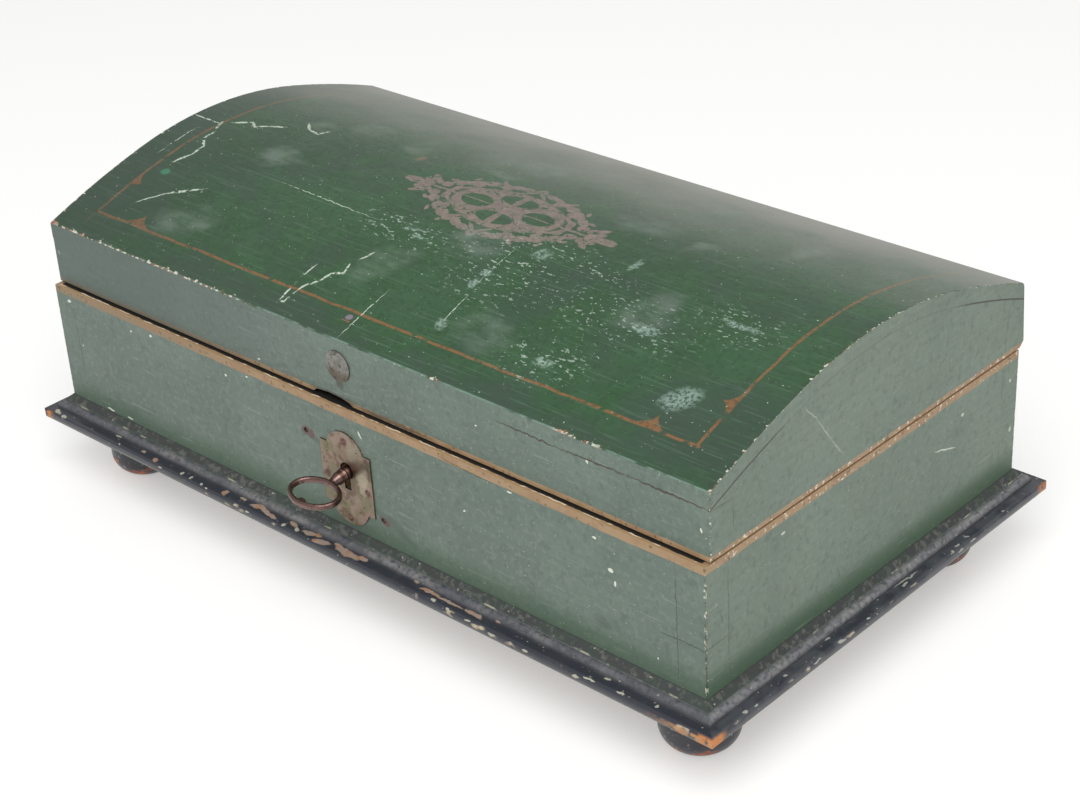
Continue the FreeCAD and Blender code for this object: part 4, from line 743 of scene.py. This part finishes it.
def tarnished_brass():
    """Sheet brass, filed and once polished: brown and olive tarnish, brighter where rubbed."""
    finish = Finish("tarnished_sheet_brass", "#958679", 0.36, Metallic=1.0)
    finish.coat(finish.blotches(11, 0.5, soft=0.12), "#8d766a", 0.42, cover=0.8)
    finish.coat(finish.blotches(5, 0.4, soft=0.08, shift=7), "#77755c", 0.44, cover=0.75)
    finish.coat(finish.blotches(1.8, 0.34, soft=0.06, detail=4, shift=17), "#65503f", 0.5, 0.015, cover=0.6)
    around = [(plate_x + a, plate_z + b, 2.1, 2.1, 0) for a, b in PLATE_PINS]
    finish.coat(finish.marks(finish.wavy(finish.front, 3, 0.3), around, 0.4), "#5e463d", 0.5, cover=0.7)
    finish.coat(finish.marks(finish.front, [(4, 68, 4.5, 8, -10)], 0.7), "#5c4a40", 0.5, cover=0.5)
    bright = finish.marks(finish.wavy(finish.front, 3, 1.5), [(9, 84, 5, 5, 0), (12, 72, 3, 8, 0)], 0.7)
    finish.coat(bright, "#b3ab96", 0.3, cover=0.6)
    finish.coat(finish.blotches(0.9, 0.0, soft=0.03, shift=27), "#3d352c", 0.6, -0.03, cover=0.7)
    # File marks, a few to the millimetre, drawn coarser to show
    filed = finish.blotches(0.5, 0.5, soft=0.2, stretch=(1, 1, 0.05), shift=37)
    finish.coat(filed, None, 0.3, 0.008, cover=0.5)
    return finish.done()


def stud_brass():
    """A turned stud gone grey, darker and browner towards its lower side."""
    finish = Finish("grey_tarnished_brass", "#8b8a85", 0.4, Metallic=1.0)
    finish.coat(finish.blotches(4, 0.45, soft=0.1), "#75726a", 0.5, cover=0.7)
    finish.coat(finish.short_of(finish.z, 119.5, 2.5), "#5f5244", 0.5, cover=0.7)
    finish.coat(finish.blotches(1.2, 0.2, soft=0.05, shift=7), "#4d4840", 0.6, -0.02, cover=0.7)
    return finish.done()


def key_iron():
    """Forged and filed iron, red-brown from handling, lighter and darker in patches."""
    finish = Finish("handled_forged_iron", "#7b635e", 0.3, Metallic=1.0)
    finish.coat(finish.blotches(5, 0.45, soft=0.12), "#5f4a46", 0.34, cover=0.8)
    finish.coat(finish.blotches(1.8, 0.3, soft=0.08, shift=9), "#8a6a5e", 0.42, 0.015, cover=0.5)
    finish.coat(finish.blotches(0.9, 0.15, soft=0.05, shift=19), "#332427", 0.55, -0.02, cover=0.6)
    return finish.done()


def old_iron():
    """Plain forged iron kept dry indoors: grey-brown, with a skin of fine rust."""
    finish = Finish("forged_iron", "#6b6663", 0.42, Metallic=1.0)
    finish.coat(finish.blotches(7, 0.45, soft=0.12), "#54504e", 0.48, cover=0.8)
    finish.coat(finish.blotches(2.5, 0.4, soft=0.08, shift=5), "#6b4534", 0.7, 0.02, cover=0.7)
    finish.coat(finish.blotches(0.9, 0.25, soft=0.05, shift=15), "#3b2c26", 0.75, -0.02, cover=0.6)
    return finish.done()


def worn_copy(name, body, material, width, outer):
    """A copy of one CAD board, merged, with the arrises that outer picks worn round."""
    shape = bmesh.new()
    shape.from_mesh(nodes[name].data)
    bmesh.ops.remove_doubles(shape, verts=shape.verts, dist=0.002 * MM)
    bmesh.ops.dissolve_limit(shape, angle_limit=math.radians(0.4), verts=shape.verts,
                             edges=shape.edges)
    weight = shape.edges.layers.float.new("bevel_weight_edge")
    for edge in shape.edges:
        if len(edge.link_faces) == 2 and edge.calc_face_angle() > math.radians(30):
            ends = [(v.co.x / MM, (v.co.y - middle_y) / MM, v.co.z / MM) for v in edge.verts]
            edge[weight] = float(edge.calc_length() > 2 * MM and outer(*ends))
    for face in shape.faces:
        face.smooth = True
    mesh = bpy.data.meshes.new(name + "_worn")
    shape.to_mesh(mesh)
    shape.free()
    if "custom_normal" in mesh.attributes:
        mesh.attributes.remove(mesh.attributes["custom_normal"])
    mesh.materials.clear()
    mesh.materials.append(material)
    for polygon in mesh.polygons:
        polygon.material_index = 0
    mesh.set_sharp_from_angle(angle=math.radians(30))
    piece = bpy.data.objects.new(name + "_worn", mesh)
    bpy.context.scene.collection.objects.link(piece)
    bevel = piece.modifiers.new("worn_edges", "BEVEL")
    bevel.width = width
    bevel.segments = 3
    bevel.limit_method = "WEIGHT"
    bevel.harden_normals = True
    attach(piece, body)
    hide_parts(name)
    return piece


def on_arris(a, b):
    """Whether both ends of an edge lie on two outer faces of the carcass or the lid."""
    planes = 0
    for axis, places in [(0, (-half_width, half_width)), (1, (-half_depth, half_depth, lid_front)),
                         (2, (rim, rim + 0.6))]:
        planes += any(abs(a[axis] - place) < 0.05 and abs(b[axis] - place) < 0.05 for place in places)
    return planes >= 2


def on_lid_arris(a, b):
    """Whether an edge follows the arch at an end of the lid or one of its outer corners."""
    if on_arris(a, b):
        return True
    at_end = abs(abs(a[0]) - half_width) < 0.05 and abs(abs(b[0]) - half_width) < 0.05
    return at_end and min(top_height(a[1]), top_height(b[1])) < min(a[2], b[2]) + 0.3


def top_height(y):
    """How high the arch of the lid stands at a distance from the middle of the carcass."""
    aside = abs(y - arch_middle)
    if aside <= crown_reach:
        return crown - crown_radius + math.sqrt(crown_radius ** 2 - aside ** 2)
    lean = crown_reach / crown_radius
    further = flank_radius - crown_radius
    centre = crown - crown_radius - further * math.sqrt(1 - lean ** 2)
    return centre + math.sqrt(flank_radius ** 2 - (aside + further * lean) ** 2)


def on_moulding(a, b):
    """Whether an edge lies on the moulding outside the carcass."""
    return all(max(abs(end[0]) - half_width, abs(end[1]) - half_depth) > 2 for end in (a, b))


def repaint(name, material):
    """Gives a CAD piece its finish."""
    for slot in nodes[name].material_slots:
        slot.material = material


CARCASS_BOARDS = ["front_board", "back_board", "right_end", "left_end"]
LID_BOARDS = ["lid_front_rail", "lid_back_rail", "lid_right_end", "lid_left_end"]
FEET = ["foot_front_left", "foot_front_right", "foot_back_left", "foot_back_right"]
PAINTED_NAILS = ["corner_nails", "lid_rail_nails", "lid_top_nails"]


class BoxSizes(bpy.types.PropertyGroup):
    """Sizes that a user would change."""
    edge_wear: bpy.props.FloatProperty(name="Edge wear", description="How round the arrises are worn",
                                       default=0.45 * MM, min=0.0, subtype="DISTANCE", unit="LENGTH")
    moulding_wear: bpy.props.FloatProperty(name="Moulding wear",
                                           description="How round the edges of the base are worn",
                                           default=0.3 * MM, min=0.0, subtype="DISTANCE",
                                           unit="LENGTH")


class DressWood(bpy.types.Operator):
    """Wears and paints the boards of the box and its lid"""
    bl_idname = "keepsake.dress_wood"
    bl_label = "Boards and lid"

    def execute(self, context):
        wear = context.scene.keepsake_sizes.edge_wear
        sides = carcass_paint()
        for name in CARCASS_BOARDS:
            worn_copy(name, "carcass", sides, wear, on_arris)
        lid_sides = lid_sides_paint()
        for name in LID_BOARDS:
            worn_copy(name, "lid", lid_sides, wear, on_arris)
        top = lid_top_paint()
        worn_copy("lid_top", "lid", top, wear, on_lid_arris)
        repaint("corner_nails", sides)
        repaint("lid_rail_nails", lid_sides)
        repaint("lid_top_nails", top)
        return {"FINISHED"}


class DressBase(bpy.types.Operator):
    """Wears and paints the base board and the turned feet"""
    bl_idname = "keepsake.dress_base"
    bl_label = "Base and feet"

    def execute(self, context):
        wear = context.scene.keepsake_sizes.moulding_wear
        worn_copy("base_board", "carcass", base_paint(), wear, on_moulding)
        feet = foot_paint()
        for name in FEET:
            repaint(name, feet)
        return {"FINISHED"}


class DressMetal(bpy.types.Operator):
    """Gives the hinges, lock, plates, nails and key their metals"""
    bl_idname = "keepsake.dress_metal"
    bl_label = "Metalwork"

    def execute(self, context):
        repaint("escutcheon", tarnished_brass())
        repaint("lid_stud", stud_brass())
        handled = key_iron()
        repaint("key", handled)
        repaint("escutcheon_pins", handled)
        iron = old_iron()
        done = CARCASS_BOARDS + LID_BOARDS + FEET + PAINTED_NAILS
        done += ["lid_top", "base_board", "escutcheon", "escutcheon_pins", "lid_stud", "key"]
        for name in sorted(set(nodes) - set(done)):
            repaint(name, iron)
        return {"FINISHED"}


class SetStage(bpy.types.Operator):
    """Sets the floor, the light and the camera"""
    bl_idname = "keepsake.set_stage"
    bl_label = "Stage"

    def lift_floor(self, tree, shader):
        """Lightens the floor for the camera and for reflections, and keeps most of its shadow."""
        rays = tree.nodes.new("ShaderNodeLightPath")
        seen = rays.outputs["Is Camera Ray"]
        for name in ["Is Glossy Ray", "Is Transmission Ray"]:
            either = tree.nodes.new("ShaderNodeMath")
            either.operation = "MAXIMUM"
            tree.links.new(seen, either.inputs[0])
            tree.links.new(rays.outputs[name], either.inputs[1])
            seen = either.outputs[0]
        half = tree.nodes.new("ShaderNodeMath")
        half.operation = "MULTIPLY"
        half.inputs[1].default_value = 0.38
        tree.links.new(seen, half.inputs[0])
        white = tree.nodes.new("ShaderNodeEmission")
        white.inputs["Color"].default_value = linear("#fcfcfb")
        mixed = tree.nodes.new("ShaderNodeMixShader")
        tree.links.new(half.outputs[0], mixed.inputs[0])
        tree.links.new(shader.outputs[0], mixed.inputs[1])
        tree.links.new(white.outputs[0], mixed.inputs[2])
        tree.links.new(mixed.outputs[0], tree.nodes["Material Output"].inputs["Surface"])

    def execute(self, context):
        scene = context.scene
        scene.view_settings.view_transform = "Standard"
        shape = bmesh.new()
        bmesh.ops.create_grid(shape, x_segments=1, y_segments=1, size=6.0)
        mesh = bpy.data.meshes.new("floor")
        shape.to_mesh(mesh)
        shape.free()
        floor = bpy.data.objects.new("floor", mesh)
        scene.collection.objects.link(floor)
        material = bpy.data.materials.new("pale_floor")
        material.use_nodes = True
        shader = material.node_tree.nodes["Principled BSDF"]
        shader.inputs["Base Color"].default_value = linear("#fafaf8")
        shader.inputs["Roughness"].default_value = 1.0
        shader.inputs["Specular IOR Level"].default_value = 0.0
        self.lift_floor(material.node_tree, shader)
        mesh.materials.append(material)

        world = bpy.data.worlds.new("studio")
        world.use_nodes = True
        world.node_tree.nodes["Background"].inputs["Color"].default_value = (1, 1, 1, 1)
        world.node_tree.nodes["Background"].inputs["Strength"].default_value = 0.6
        scene.world = world

        lamp = bpy.data.lights.new("soft_light", "AREA")
        lamp.size = 1.8
        lamp.energy = 51.0
        light = bpy.data.objects.new("soft_light", lamp)
        light.location = (0.9, -1.1, 1.9)
        light.rotation_euler = (-light.location).to_track_quat("-Z", "Y").to_euler()
        scene.collection.objects.link(light)

        yaw, pitch, roll = (math.radians(a) for a in (-44.241, 29.265, -3.457))
        forward = Vector((math.cos(pitch) * math.sin(yaw), math.cos(pitch) * math.cos(yaw),
                          -math.sin(pitch)))
        right = forward.cross(Vector((0, 0, 1))).normalized()
        up = right.cross(forward)
        across = math.cos(roll) * right + math.sin(roll) * up
        upwards = -math.sin(roll) * right + math.cos(roll) * up
        view = bpy.data.cameras.new("camera")
        view.lens = 73.397
        view.sensor_width = 36
        camera = bpy.data.objects.new("camera", view)
        scene.collection.objects.link(camera)
        turn = Matrix((across, upwards, -forward)).transposed().to_4x4()
        camera.matrix_world = Matrix.Translation((0.63325, -0.62664, 0.55816)) @ turn
        scene.camera = camera
        return {"FINISHED"}


class BoxPanel(bpy.types.Panel):
    """Lists the steps that dress the box"""
    bl_idname = "KEEPSAKE_PT_panel"
    bl_label = "Keepsake box"
    bl_space_type = "VIEW_3D"
    bl_region_type = "UI"
    bl_category = "Keepsake box"

    def draw(self, context):
        sizes = context.scene.keepsake_sizes
        self.layout.prop(sizes, "edge_wear")
        self.layout.prop(sizes, "moulding_wear")
        for operator in OPERATORS:
            self.layout.operator(operator.bl_idname)


OPERATORS = [DressWood, DressBase, DressMetal, SetStage]
CLASSES = [BoxSizes, *OPERATORS, BoxPanel]


def register():
    for made in CLASSES:
        bpy.utils.register_class(made)
    bpy.types.Scene.keepsake_sizes = bpy.props.PointerProperty(type=BoxSizes)


def unregister():
    del bpy.types.Scene.keepsake_sizes
    for made in reversed(CLASSES):
        bpy.utils.unregister_class(made)


def main():
    register()
    bpy.ops.keepsake.dress_wood()
    bpy.ops.keepsake.dress_base()
    bpy.ops.keepsake.dress_metal()
    bpy.ops.keepsake.set_stage()


if __name__ == "__main__":
    main()
